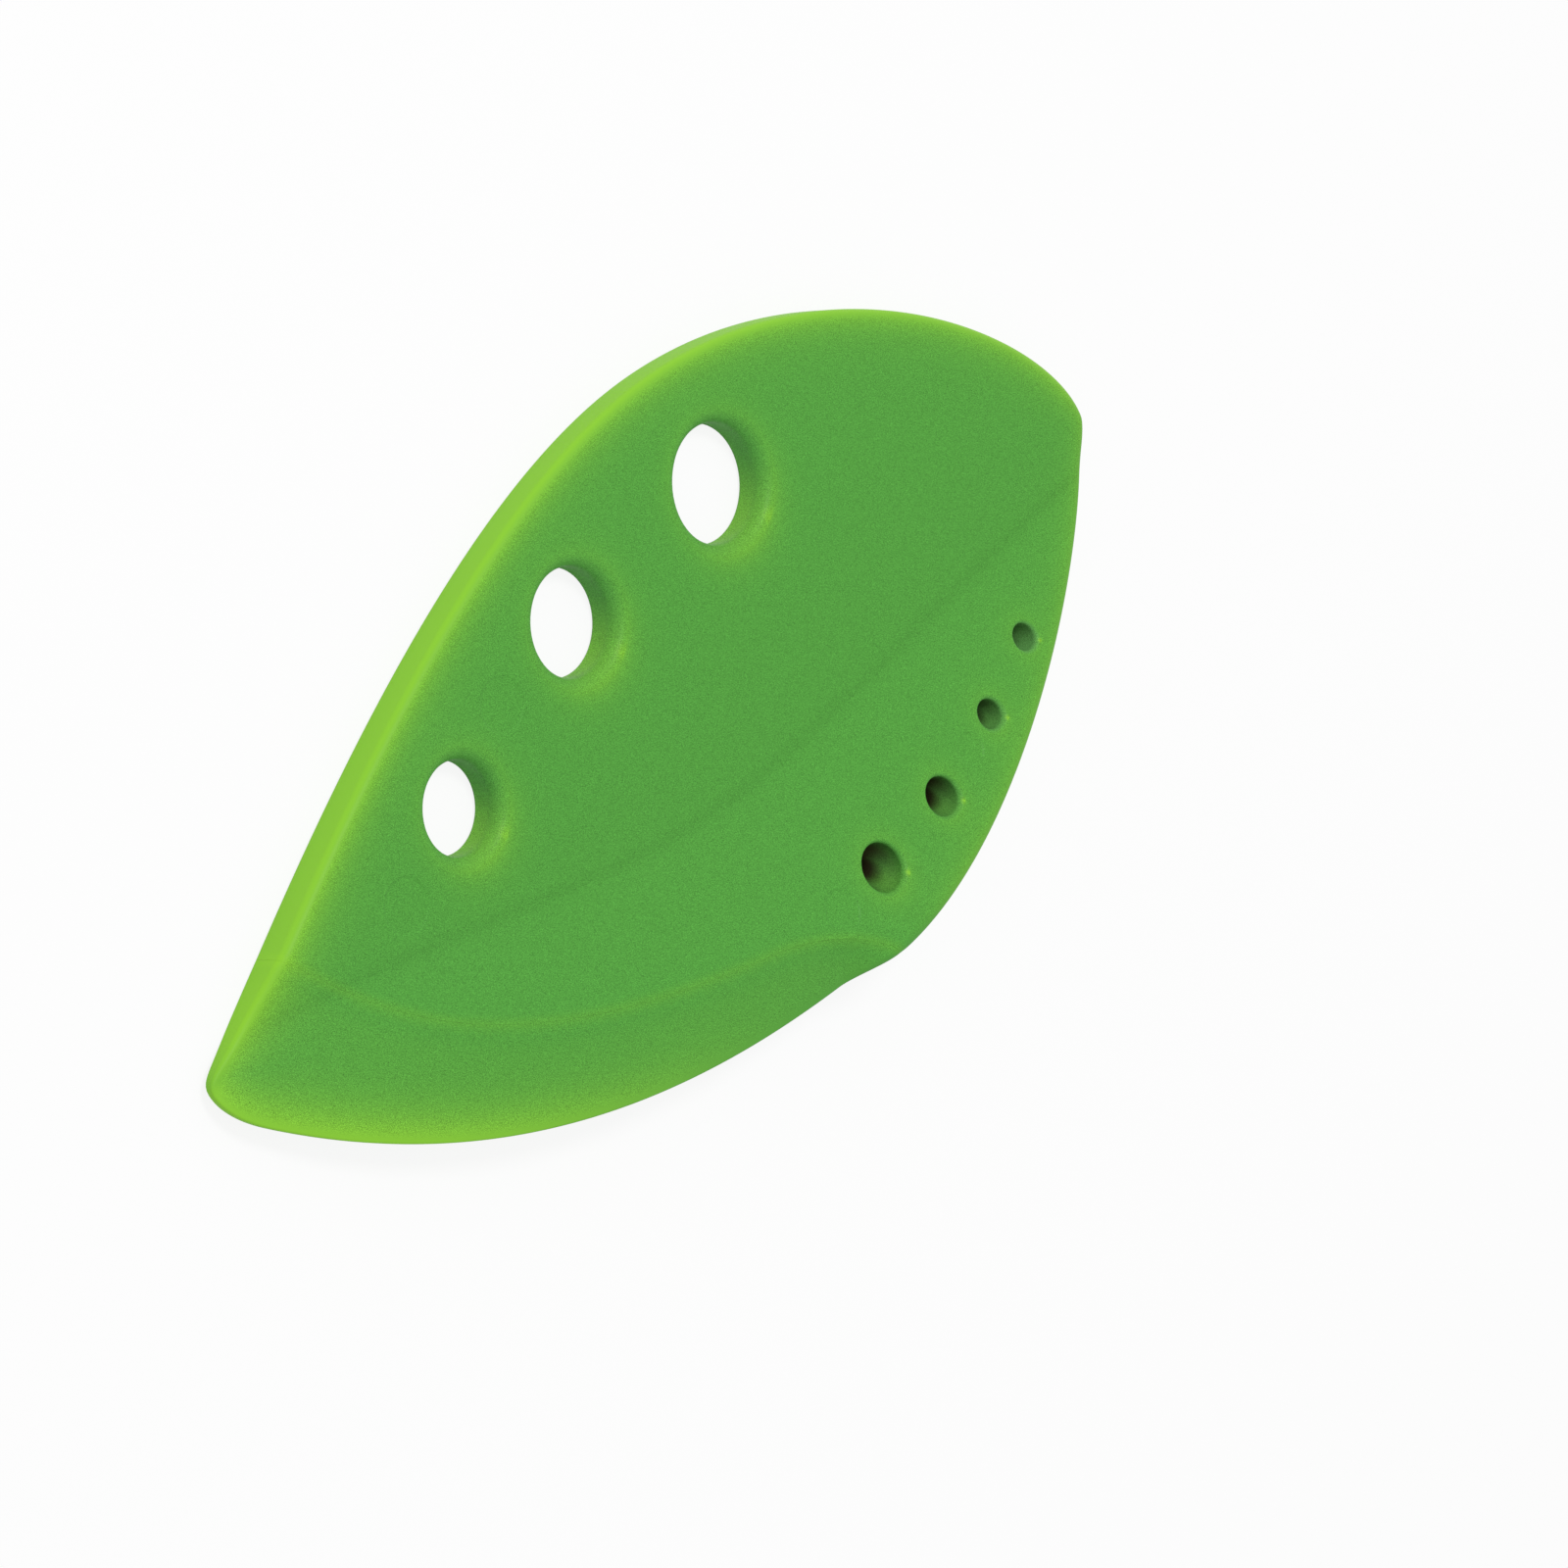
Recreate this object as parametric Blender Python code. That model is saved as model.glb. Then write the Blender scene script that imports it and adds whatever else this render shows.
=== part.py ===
"""Herb and greens stripper: a leaf-shaped nylon plate, folded along its midrib, with holes that strip
stems and a thin chopping blade along its lower edge. Metres, +Z up.

The leaf lies on the flat back of its spine half. +X runs from the nose to the stem end, +Y from the
cutting side to the spine, and the hollow side of the fold looks up.

Plan places are written as (u, v): u runs from the nose towards the stem end, and v from the leaf's axis
towards the spine. Heights are counted from the back of the plate, before it is folded.
"""

from math import atan2, cos, pi, radians, sin, sqrt, tan

import bmesh
import bpy
import numpy as np
from mathutils import Vector

MM = 0.001

# The leaf's plan: two sides, each running from the nose over a crest to the stem end
LENGTH = 154.9 * MM
SPINE_BOW = 37.5 * MM
EDGE_BOW = 36.0 * MM
SPINE_CREST_AT = 91.8 * MM
EDGE_CREST_AT = 89.8 * MM
NOSE_SPINE_FLANK = (8.3 * MM, 5.7 * MM)
NOSE_SPINE_ANGLE = radians(31)
NOSE_SPINE_ROUNDING = 2.1 * MM
NOSE_EDGE_FLANK = (4.1 * MM, -6.6 * MM)
NOSE_EDGE_ANGLE = radians(-42)
NOSE_EDGE_ROUNDING = 3.0 * MM
STEM_SPINE_ROUNDING = 11.5 * MM
STEM_EDGE_ROUNDING = 5.5 * MM
# The reach of each curve's handles, as shares of its span
SPINE_FULLNESS = (0.90, 0.45, 0.27, 0.55)
EDGE_FULLNESS = (0.25, 0.37, 0.35, 0.44)

# The plate and its fold
PLATE_THICKNESS = 4.6 * MM
RIM_ROUNDING = 1.0 * MM
FOLD_ANGLE = radians(15)
FOLD_SOFTNESS = 2.5 * MM
MIDRIB_AT_NOSE = 4.6 * MM
MIDRIB_BOW = -9.0 * MM
MIDRIB_BOW_AT = 84.0 * MM
MIDRIB_AT_STEM = -4.5 * MM

# The stem holes: each one's station as a share of its row's span, its distance in from the side, and its
# throat radius. The big row's span is the whole leaf and the small row's runs from the blade's heel.
BIG_HOLES = (
    (0.249, 14.0 * MM, 5.4 * MM),
    (0.422, 14.6 * MM, 6.3 * MM),
    (0.638, 15.5 * MM, 7.0 * MM),
)
SMALL_HOLES = (
    (0.078, 8.9 * MM, 2.6 * MM),
    (0.301, 7.7 * MM, 2.1 * MM),
    (0.497, 6.2 * MM, 1.6 * MM),
    (0.654, 4.8 * MM, 1.5 * MM),
)

# The chopping blade: the line where it meets the plate, its thickness and the tongue that holds it
BLADE_START_AT = 13.6 * MM
BLADE_START_ANGLE = radians(-47)
BLADE_WAIST = (74.0 * MM, -26.5 * MM)
BLADE_WAIST_ANGLE = radians(-13)
BLADE_HEEL_AT = 89.9 * MM
BLADE_HEEL_ANGLE = radians(-64)
BLADE_FULLNESS = (0.16, 0.71, 0.35, 0.25)
BLADE_EDGE_THICKNESS = 0.9 * MM
BLADE_STEP = 0.35 * MM
BLADE_ROUNDING = 0.35 * MM
TONGUE_THICKNESS = 1.5 * MM
TONGUE_DEPTH = 3.5 * MM
TONGUE_FROM_SPINE = 12.0 * MM
TONGUE_FROM_HEEL = 14.0 * MM
JOINT_GAP = 0.3 * MM

# How finely curves are followed
SIDE_POINTS = 36
NOSE_POINTS = 6
LINE_POINTS = 16
HOLE_POINTS = 32
FOLD_CUT = 1.5 * MM
PLAN_CUT = 7.0 * MM
WELD = 0.002 * MM


def bezier(start, start_handle, end_handle, end, count):
    """The points of one cubic curve, without its last one."""
    t = np.arange(count)[:, None] / count
    s = 1 - t
    return s**3 * start + 3 * s * s * t * start_handle + 3 * s * t * t * end_handle + t**3 * end


def ease(share):
    """Runs from 0 to 1 with level ends."""
    share = np.clip(share, 0, 1)
    return share * share * (3 - 2 * share)


def along(angle, length):
    return length * np.array([cos(angle), sin(angle)])


def leaf_side(crest, flank, flank_angle, nose_rounding, stem_rounding, fullness):
    """One side of the outline, from the nose over its crest to the stem end."""
    nose, stem = np.array([0, 0]), np.array([LENGTH, 0])
    flank, crest = np.array(flank), np.array(crest)
    rise, fall = crest[0] - flank[0], LENGTH - crest[0]
    outward = np.array([0, np.sign(crest[1])])
    near_flank = along(flank_angle, flank[0] * fullness[0])
    leaving_flank = along(flank_angle, rise * fullness[1])
    before_crest, after_crest = np.array([rise * fullness[2], 0]), np.array([fall * fullness[3], 0])
    return np.concatenate(
        [
            bezier(nose, nose + outward * nose_rounding, flank - near_flank, flank, NOSE_POINTS),
            bezier(flank, flank + leaving_flank, crest - before_crest, crest, SIDE_POINTS),
            bezier(crest, crest + after_crest, stem + outward * stem_rounding, stem, SIDE_POINTS),
            [stem],
        ]
    )


def spine_side():
    return leaf_side(
        (SPINE_CREST_AT, SPINE_BOW),
        NOSE_SPINE_FLANK,
        NOSE_SPINE_ANGLE,
        NOSE_SPINE_ROUNDING,
        STEM_SPINE_ROUNDING,
        SPINE_FULLNESS,
    )


def edge_side():
    return leaf_side(
        (EDGE_CREST_AT, -EDGE_BOW),
        NOSE_EDGE_FLANK,
        NOSE_EDGE_ANGLE,
        NOSE_EDGE_ROUNDING,
        STEM_EDGE_ROUNDING,
        EDGE_FULLNESS,
    )


def on_side(side, u):
    """The point of one side of the outline at station u, and the direction there, towards the stem end."""
    place = np.array([u, np.interp(u, side[:, 0], side[:, 1])])
    ahead = np.array([u + MM, np.interp(u + MM, side[:, 0], side[:, 1])])
    step = ahead - place
    return place, step / np.linalg.norm(step)


def step_line(outward):
    """The line where blade and plate meet, from the spine to the heel, moved this far towards the blade."""
    start, _ = on_side(spine_side(), BLADE_START_AT)
    heel, _ = on_side(edge_side(), BLADE_HEEL_AT)
    waist = np.array(BLADE_WAIST)
    first, second = np.linalg.norm(waist - start), np.linalg.norm(heel - waist)
    leaving_start = along(BLADE_START_ANGLE, first * BLADE_FULLNESS[0])
    before_waist = along(BLADE_WAIST_ANGLE, first * BLADE_FULLNESS[1])
    after_waist = along(BLADE_WAIST_ANGLE, second * BLADE_FULLNESS[2])
    before_heel = along(BLADE_HEEL_ANGLE, second * BLADE_FULLNESS[3])
    line = np.concatenate(
        [
            bezier(start, start + leaving_start, waist - before_waist, waist, LINE_POINTS),
            bezier(waist, waist + after_waist, heel - before_heel, heel, LINE_POINTS // 2),
            [heel],
        ]
    )
    steps = np.gradient(line, axis=0)
    steps /= np.linalg.norm(steps, axis=1)[:, None]
    return line + outward * np.stack([steps[:, 1], -steps[:, 0]], axis=1)


def trimmed(line, from_start, from_end):
    """The part of a line that stays this far from its ends."""
    run = np.concatenate([[0], np.cumsum(np.linalg.norm(np.diff(line, axis=0), axis=1))])
    marks = np.linspace(from_start, run[-1] - from_end, LINE_POINTS)
    return np.stack([np.interp(marks, run, line[:, axis]) for axis in (0, 1)], axis=1)


def split_outline(side, line, at_start):
    """Where this side of the outline crosses the line's end, and the outline's points before and after it."""
    u = line[0, 0] if at_start else line[-1, 0]
    place, _ = on_side(side, u)
    return place, side[side[:, 0] < u - MM], side[side[:, 0] > u + MM]


def body_outline():
    """The plate's outline: the leaf beyond the step line."""
    line = step_line(0)
    spine_place, _, spine = split_outline(spine_side(), line, True)
    heel_place, _, edge = split_outline(edge_side(), line, False)
    return np.concatenate([[spine_place], line[1:-1], [heel_place], edge[:-1], spine[::-1]])


def blade_outline():
    """The blade's outline: nose, cutting edge and step line."""
    line = step_line(JOINT_GAP)
    spine_place, spine, _ = split_outline(spine_side(), line, True)
    heel_place, edge, _ = split_outline(edge_side(), line, False)
    return np.concatenate([[spine_place], spine[::-1], edge[1:], [heel_place], line[1:-1][::-1]])


def tongue_outline(gap):
    """The band along the step line that the tongue fills, or with a gap its slot."""
    ends = (TONGUE_FROM_SPINE - gap, TONGUE_FROM_HEEL - gap)
    inner = trimmed(step_line(-TONGUE_DEPTH - gap), *ends)
    outer = trimmed(step_line(1.5 * MM), *ends)
    return np.concatenate([inner, outer[::-1]])


def hole_places():
    """Each stem hole as its centre and throat radius, the big row first."""
    holes = []
    for share, inset, radius in BIG_HOLES:
        place, run = on_side(spine_side(), LENGTH * share)
        holes.append((place + inset * np.array([run[1], -run[0]]), radius))
    for share, inset, radius in SMALL_HOLES:
        place, run = on_side(edge_side(), BLADE_HEEL_AT + (LENGTH - BLADE_HEEL_AT) * share)
        holes.append((place + inset * np.array([-run[1], run[0]]), radius))
    return holes


def circle(centre, radius):
    turns = 2 * pi * np.arange(HOLE_POINTS) / HOLE_POINTS
    return centre + radius * np.stack([np.cos(turns), np.sin(turns)], axis=1)


def midrib(u):
    """How far the midrib lies from the leaf's axis at station u."""
    if u < MIDRIB_BOW_AT:
        return MIDRIB_AT_NOSE + (MIDRIB_BOW - MIDRIB_AT_NOSE) * ease(u / MIDRIB_BOW_AT)
    return MIDRIB_BOW + (MIDRIB_AT_STEM - MIDRIB_BOW) * ease((u - MIDRIB_BOW_AT) / (LENGTH - MIDRIB_BOW_AT))


def fold_height(u, v):
    """How far the fold lifts the plate at this place: nothing on the spine half, a slope beyond the midrib."""
    past = midrib(u) - v
    if past <= -FOLD_SOFTNESS:
        return 0.0
    if past < FOLD_SOFTNESS:
        return tan(FOLD_ANGLE) * (past + FOLD_SOFTNESS) ** 2 / (4 * FOLD_SOFTNESS)
    return tan(FOLD_ANGLE) * past


def distance_to(line, place):
    """The least distance from a place to a line of points."""
    start, step = line[:-1], np.diff(line, axis=0)
    share = np.clip(((place - start) * step).sum(axis=1) / (step**2).sum(axis=1), 0, 1)
    return np.linalg.norm(start + share[:, None] * step - place, axis=1).min()


def flat_plate(name, outlines, low, high, rounding):
    """A flat plate from closed outlines, the first one outside and the others holes, as a mesh object. Its
    faces are cut by a grid, so that it can be folded."""
    curve = bpy.data.curves.new(name, "CURVE")
    curve.dimensions = "2D"
    curve.fill_mode = "BOTH"
    curve.extrude = (high - low) / 2 - rounding
    curve.bevel_depth = rounding
    curve.bevel_resolution = 1
    curve.offset = -rounding
    for outline in outlines:
        spline = curve.splines.new("POLY")
        spline.points.add(len(outline) - 1)
        for point, (u, v) in zip(spline.points, outline):
            point.co = (u, v, 0, 1)
        spline.use_cyclic_u = True
    source = bpy.data.objects.new(name + "_outline", curve)
    bpy.context.collection.objects.link(source)
    bpy.context.view_layer.update()
    mesh = bpy.data.meshes.new_from_object(source.evaluated_get(bpy.context.evaluated_depsgraph_get()))
    bpy.data.objects.remove(source)
    mesh.name = name

    form = bmesh.new()
    form.from_mesh(mesh)
    bmesh.ops.remove_doubles(form, verts=form.verts, dist=WELD)
    bmesh.ops.translate(form, verts=form.verts, vec=(0, 0, (high + low) / 2))
    crease_low = min(MIDRIB_BOW, MIDRIB_AT_NOSE, MIDRIB_AT_STEM) - FOLD_SOFTNESS
    crease_high = max(MIDRIB_BOW, MIDRIB_AT_NOSE, MIDRIB_AT_STEM) + FOLD_SOFTNESS
    cuts = [((u, 0, 0), (1, 0, 0)) for u in np.arange(PLAN_CUT, LENGTH, PLAN_CUT)]
    cuts += [((0, v, 0), (0, 1, 0)) for v in np.arange(crease_low, crease_high, FOLD_CUT)]
    cuts += [((0, v, 0), (0, 1, 0)) for v in np.arange(crease_low - PLAN_CUT / 2, -EDGE_BOW, -PLAN_CUT / 2)]
    for place, normal in cuts:
        every = form.verts[:] + form.edges[:] + form.faces[:]
        bmesh.ops.bisect_plane(form, geom=every, dist=WELD, plane_co=place, plane_no=normal)
    bmesh.ops.recalc_face_normals(form, faces=form.faces)
    form.to_mesh(mesh)
    form.free()
    return bpy.data.objects.new(name, mesh)


def folded(plate, thickness_share=None):
    """Folds a flat plate along the midrib and moves it from (u, v) to its place. Heights are first scaled by
    the share that thickness_share gives for each place."""
    centre = Vector((LENGTH / 2, (SPINE_BOW - EDGE_BOW) / 2, 0))
    for vertex in plate.data.vertices:
        u, v, height = vertex.co
        if thickness_share is not None:
            height *= thickness_share(u, v)
        vertex.co = Vector((u, v, height + fold_height(u, v))) - centre
    return plate


def joined_by(target, tool, operation):
    modifier = target.modifiers.new(tool.name, "BOOLEAN")
    modifier.operation = operation
    modifier.object = tool
    modifier.solver = "EXACT"


def tongue_band(name, gap, cutters):
    """The tongue's solid, or with a gap the space that it fills in the plate."""
    low = (PLATE_THICKNESS - TONGUE_THICKNESS) / 2 - gap
    high = (PLATE_THICKNESS + TONGUE_THICKNESS) / 2 + gap
    band = folded(flat_plate(name, [tongue_outline(gap)], low, high, 0))
    band.hide_render = True
    band.display_type = "WIRE"
    cutters.objects.link(band)
    return band


def make_leaf_body(parts, cutters):
    """The folded plate with its stem holes, and a slot for the blade's tongue along the step line."""
    outlines = [body_outline()] + [circle(centre, radius) for centre, radius in hole_places()]
    body = folded(flat_plate("leaf_body", outlines, 0, PLATE_THICKNESS, RIM_ROUNDING))
    parts.objects.link(body)
    joined_by(body, tongue_band("tongue_slot", JOINT_GAP, cutters), "DIFFERENCE")
    return body


def make_chopping_blade(parts, cutters):
    """The blade: as thick as the plate, less a small step, where they meet, and thin at its edge."""
    edge = edge_side()
    edge = edge[edge[:, 0] <= BLADE_HEEL_AT]
    line = step_line(0)
    root = PLATE_THICKNESS - BLADE_STEP

    def thickness_share(u, v):
        place = np.array([u, v])
        from_edge, from_line = distance_to(edge, place), distance_to(line, place)
        thickness = BLADE_EDGE_THICKNESS + (root - BLADE_EDGE_THICKNESS) * from_edge / (from_edge + from_line)
        return thickness / root

    blade = folded(flat_plate("chopping_blade", [blade_outline()], 0, root, BLADE_ROUNDING), thickness_share)
    parts.objects.link(blade)
    joined_by(blade, tongue_band("blade_tongue", 0, cutters), "UNION")
    return blade


def nylon(name, colour, roughness):
    """A moulded plastic of one colour, given as linear red, green and blue."""
    material = bpy.data.materials.new(name)
    material.use_nodes = True
    shader = material.node_tree.nodes["Principled BSDF"]
    shader.inputs["Base Color"].default_value = (*colour, 1)
    shader.inputs["Roughness"].default_value = roughness
    shader.inputs["Metallic"].default_value = 0
    material.diffuse_color = (*colour, 1)
    return material


def main():
    for thing in list(bpy.data.objects):
        bpy.data.objects.remove(thing)
    parts = bpy.data.collections.new("herb_stripper")
    cutters = bpy.data.collections.new("cutters")
    bpy.context.scene.collection.children.link(parts)
    bpy.context.scene.collection.children.link(cutters)
    cutters.hide_render = True

    finishes = {
        make_leaf_body: nylon("green nylon", (0.093, 0.352, 0.056), 0.45),
        make_chopping_blade: nylon("green nylon edge", (0.130, 0.400, 0.056), 0.40),
    }
    for make, material in finishes.items():
        piece = make(parts, cutters)
        piece.data.materials.clear()
        piece.data.materials.append(material)
        piece.data.shade_smooth()
        piece.data.set_sharp_from_angle(angle=radians(30))


main()
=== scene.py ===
"""Looks of a herb and greens stripper: a leaf-shaped plate of satin green nylon, folded along its midrib,
with two rows of stem holes and a thin chopping blade along its lower edge.

Each piece starts as a flat plate on the leaf's plan, where u runs from the nose to the stem end and v from
the leaf's axis to the spine. Geometry Nodes then line its stem holes, press its ejector marks and fold it.
"""

from __future__ import annotations

import logging
from collections import Counter
from dataclasses import dataclass, field, fields
from enum import Enum
from math import cos, pi, radians, sin, tan
from typing import Any

import bmesh
import bpy
import numpy as np
from mathutils import Matrix, Vector
from mathutils.geometry import delaunay_2d_cdt
from mathutils.kdtree import KDTree

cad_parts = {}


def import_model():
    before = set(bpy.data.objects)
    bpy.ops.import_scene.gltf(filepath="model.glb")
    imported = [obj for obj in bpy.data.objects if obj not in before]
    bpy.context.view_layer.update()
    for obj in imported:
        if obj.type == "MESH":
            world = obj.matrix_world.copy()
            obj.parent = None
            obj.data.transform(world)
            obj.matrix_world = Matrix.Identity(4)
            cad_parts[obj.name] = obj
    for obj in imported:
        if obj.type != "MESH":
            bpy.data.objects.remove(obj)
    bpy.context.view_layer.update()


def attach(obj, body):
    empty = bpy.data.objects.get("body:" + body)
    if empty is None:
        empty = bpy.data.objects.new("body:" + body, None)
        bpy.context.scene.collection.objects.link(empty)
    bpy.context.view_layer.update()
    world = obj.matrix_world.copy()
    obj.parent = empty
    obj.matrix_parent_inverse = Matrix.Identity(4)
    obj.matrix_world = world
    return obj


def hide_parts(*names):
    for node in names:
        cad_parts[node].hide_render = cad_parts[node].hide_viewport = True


log = logging.getLogger("herb_stripper")
MM = 0.001
# What a zero counts as where something is divided by it: a square or a step, and a length.
TINY = 1e-18
SHORT = 1e-9
# A place this near a line lies on it.
ON_LINE = 1e-7
# How near two corners of a sheet and of the joint's wall count as one, in millimetres.
SHEET_SLACK = 1e-6
WALL_SLACK = 1e-7
WELD_DISTANCE = 0.002 * MM
SHARP_ANGLE = radians(35)
# How many places are measured against a line at once, so that the steps between them fit in memory.
BATCH = 2000

Points = np.ndarray
Colour = tuple[float, float, float, float]


class Side(Enum):
    """The two sides of the leaf's outline."""

    SPINE = 1
    EDGE = -1


class Kind(Enum):
    """What a point of a flat plate stands for before its tree has run."""

    PLATE = 0
    HOLE = 1
    MARK = 2


def ease(share: Any) -> Any:
    """Runs from 0 to 1 with level ends."""
    share = np.clip(share, 0, 1)
    return share * share * (3 - 2 * share)


def along(angle: float, length: float) -> Points:
    """A step of this length in this direction."""
    return length * np.array([cos(angle), sin(angle)])


def lengths(steps: Points) -> Points:
    """The length of each step."""
    return np.linalg.norm(steps, axis=-1)


def apart(place: Points, end: Points) -> float:
    """How far a corner lies from a place, both seen on the plan."""
    return float(np.linalg.norm(place[:2] - end))


def nearest(line: Points, place: Points) -> int:
    """The number of the line's point that is nearest to a place."""
    return int(np.argmin(lengths(line - place)))


def circle(count: int) -> Points:
    """This many points round a circle of radius 1."""
    turns = 2 * pi * np.arange(count) / count
    return np.stack([np.cos(turns), np.sin(turns)], axis=1)


def closed(first: int, count: int) -> list[tuple[int, int]]:
    """The edges of a closed loop of this many corners, from the first one on."""
    return [(first + k, first + (k + 1) % count) for k in range(count)]


def bezier(start: Points, start_handle: Points, end_handle: Points, end: Points, count: int) -> Points:
    """The points of one cubic curve, without its last one.

    Args:
        start, start_handle, end_handle, end: the curve's four control points.
        count: how many points are wanted.

    Returns:
        The points, one a row.
    """
    t = np.arange(count)[:, None] / count
    s = 1 - t
    return s**3 * start + 3 * s * s * t * start_handle + 3 * s * t * t * end_handle + t**3 * end


def run_of(line: Points) -> Points:
    """How far each point lies along the line."""
    return np.concatenate([[0], np.cumsum(lengths(np.diff(line, axis=0)))])


def headings(line: Points) -> Points:
    """The line's direction at each of its points."""
    steps = np.gradient(line, axis=0)
    return steps / lengths(steps)[:, None]


def evenly(line: Points, spacing: float) -> Points:
    """The same line with points about this far apart.

    Args:
        line: the line's points.
        spacing: the distance between the new points.

    Returns:
        The new points, the line's two ends among them.
    """
    run = run_of(line)
    marks = np.linspace(0, run[-1], max(2, round(run[-1] / spacing) + 1))
    return np.stack([np.interp(marks, run, line[:, axis]) for axis in (0, 1)], axis=1)


def beside(line: Points, offsets: tuple[float, ...], side: int, spacing: float) -> list[Points]:
    """Rows of points along a line.

    Args:
        line: the line's points.
        offsets: how far each row lies from it, in millimetres.
        side: 1 for the left of its direction, and -1 for the right.
        spacing: the distance between a row's points.

    Returns:
        The rows.
    """
    line = evenly(line, spacing)
    steps = headings(line)
    left = np.stack([-steps[:, 1], steps[:, 0]], axis=1)
    return [line + side * offset * MM * left for offset in offsets]


def distance_to(line: Points, places: Points) -> Points:
    """The least distance from each place to a line.

    Args:
        line: the line's points.
        places: the places, one a row.

    Returns:
        One distance for each place.
    """
    start, step = line[:-1], np.diff(line, axis=0)
    squares = np.maximum((step**2).sum(axis=1), TINY)
    out = np.empty(len(places))
    for first in range(0, len(places), BATCH):
        offset = places[first : first + BATCH, None] - start[None]
        share = np.clip((offset * step[None]).sum(axis=-1) / squares, 0, 1)
        out[first : first + BATCH] = lengths(offset - share[..., None] * step[None]).min(axis=1)
    return out


def inside(outline: Points, places: Points) -> Points:
    """Whether each place lies inside a closed outline.

    Args:
        outline: the outline's corners.
        places: the places, one a row.

    Returns:
        True or False for each place.
    """
    found = np.zeros(len(places), bool)
    for (u0, v0), (u1, v1) in zip(outline, np.roll(outline, -1, axis=0)):
        crosses = (v0 > places[:, 1]) != (v1 > places[:, 1])
        if crosses.any():
            at = u0 + (places[:, 1] - v0) / (v1 - v0 if v1 != v0 else TINY) * (u1 - u0)
            found ^= crosses & (places[:, 0] < at)
    return found


def triangulate(corners: Points, edges: list[tuple[int, int]], slack: float) -> tuple[Points, Points]:
    """Fills the space between corners with triangles.

    Args:
        corners: the corners, one a row of two numbers.
        edges: the pairs of corners that stay joined.
        slack: how near two corners count as one, in millimetres.

    Returns:
        The corners that the triangles use, in millimetres, and each triangle's three corners.
    """
    found = delaunay_2d_cdt([Vector(corner) for corner in corners / MM], edges, [], 0, slack, False)
    return np.array([tuple(corner) for corner in found[0]]), np.array(found[2])


@dataclass(frozen=True)
class SideShape:
    """One side of the leaf, from the nose over its flank and its crest to the stem end, as three curves."""

    crest: tuple[float, float]
    flank: tuple[float, float]
    flank_angle: float
    nose_rounding: float
    stem_rounding: float
    fullness: tuple[float, float, float, float]
    counts: tuple[int, int, int] = (40, 240, 240)

    def points(self, length: float, outward: int) -> Points:
        """The side's points.

        Args:
            length: the leaf's length.
            outward: 1 where the side lies towards +v, and -1 towards -v.

        Returns:
            The points, from the nose to the stem end.
        """
        nose, stem = np.array([0.0, 0.0]), np.array([length, 0.0])
        flank, crest, out = np.array(self.flank), np.array(self.crest), np.array([0, outward])
        rise, fall = crest[0] - flank[0], length - crest[0]
        near_flank = along(self.flank_angle, flank[0] * self.fullness[0])
        leaving_flank = along(self.flank_angle, rise * self.fullness[1])
        before_crest = np.array([rise * self.fullness[2], 0])
        after_crest = np.array([fall * self.fullness[3], 0])
        curves = (
            (nose, nose + out * self.nose_rounding, flank - near_flank, flank),
            (flank, flank + leaving_flank, crest - before_crest, crest),
            (crest, crest + after_crest, stem + out * self.stem_rounding, stem),
        )
        return np.concatenate([*(bezier(*curve, n) for curve, n in zip(curves, self.counts)), [stem]])


@dataclass(frozen=True)
class StemHole:
    """A hole in a row: its station as a share of the row's span, its distance in from the side, its throat
    radius at the front and at the back, the rounding of its two mouths, how dark the painted shade of its
    lining gets with depth, how pale its painted lightening makes it, the painted glow round it, the painted
    glow that the far side of its lining catches, and its painted glint with the glint's angle."""

    station: float
    inset: float
    throat: float
    back_throat: float
    mouth: float = 1.7 * MM
    back_mouth: float = 0.7 * MM
    depth_shade: float = 0.0
    pale: float = 0.3
    halo: float = 0.11
    catch: float = 0.8
    glint: float = 0.3
    glint_angle: float = radians(-55)

    def mouth_radius(self, is_front: bool) -> float:
        """The hole's radius where it meets the plate's front or back."""
        return self.throat + self.mouth if is_front else self.back_throat + self.back_mouth


@dataclass(frozen=True)
class SmallStemHole(StemHole):
    """A small stem hole, with a sharper back, a lining that catches less painted light and a brighter painted
    glint.
    """

    back_mouth: float = 0.2 * MM
    halo: float = 0.10
    catch: float = 0.24
    glint: float = 0.7
    glint_angle: float = radians(-40)


@dataclass(frozen=True)
class EjectorMark:
    """A shallow disc that a mould's ejector pin leaves: its centre on the plan and its radius."""

    u: float
    v: float
    radius: float

    @property
    def centre(self) -> Points:
        """Its centre as a point of the plan."""
        return np.array([self.u, self.v])


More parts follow.
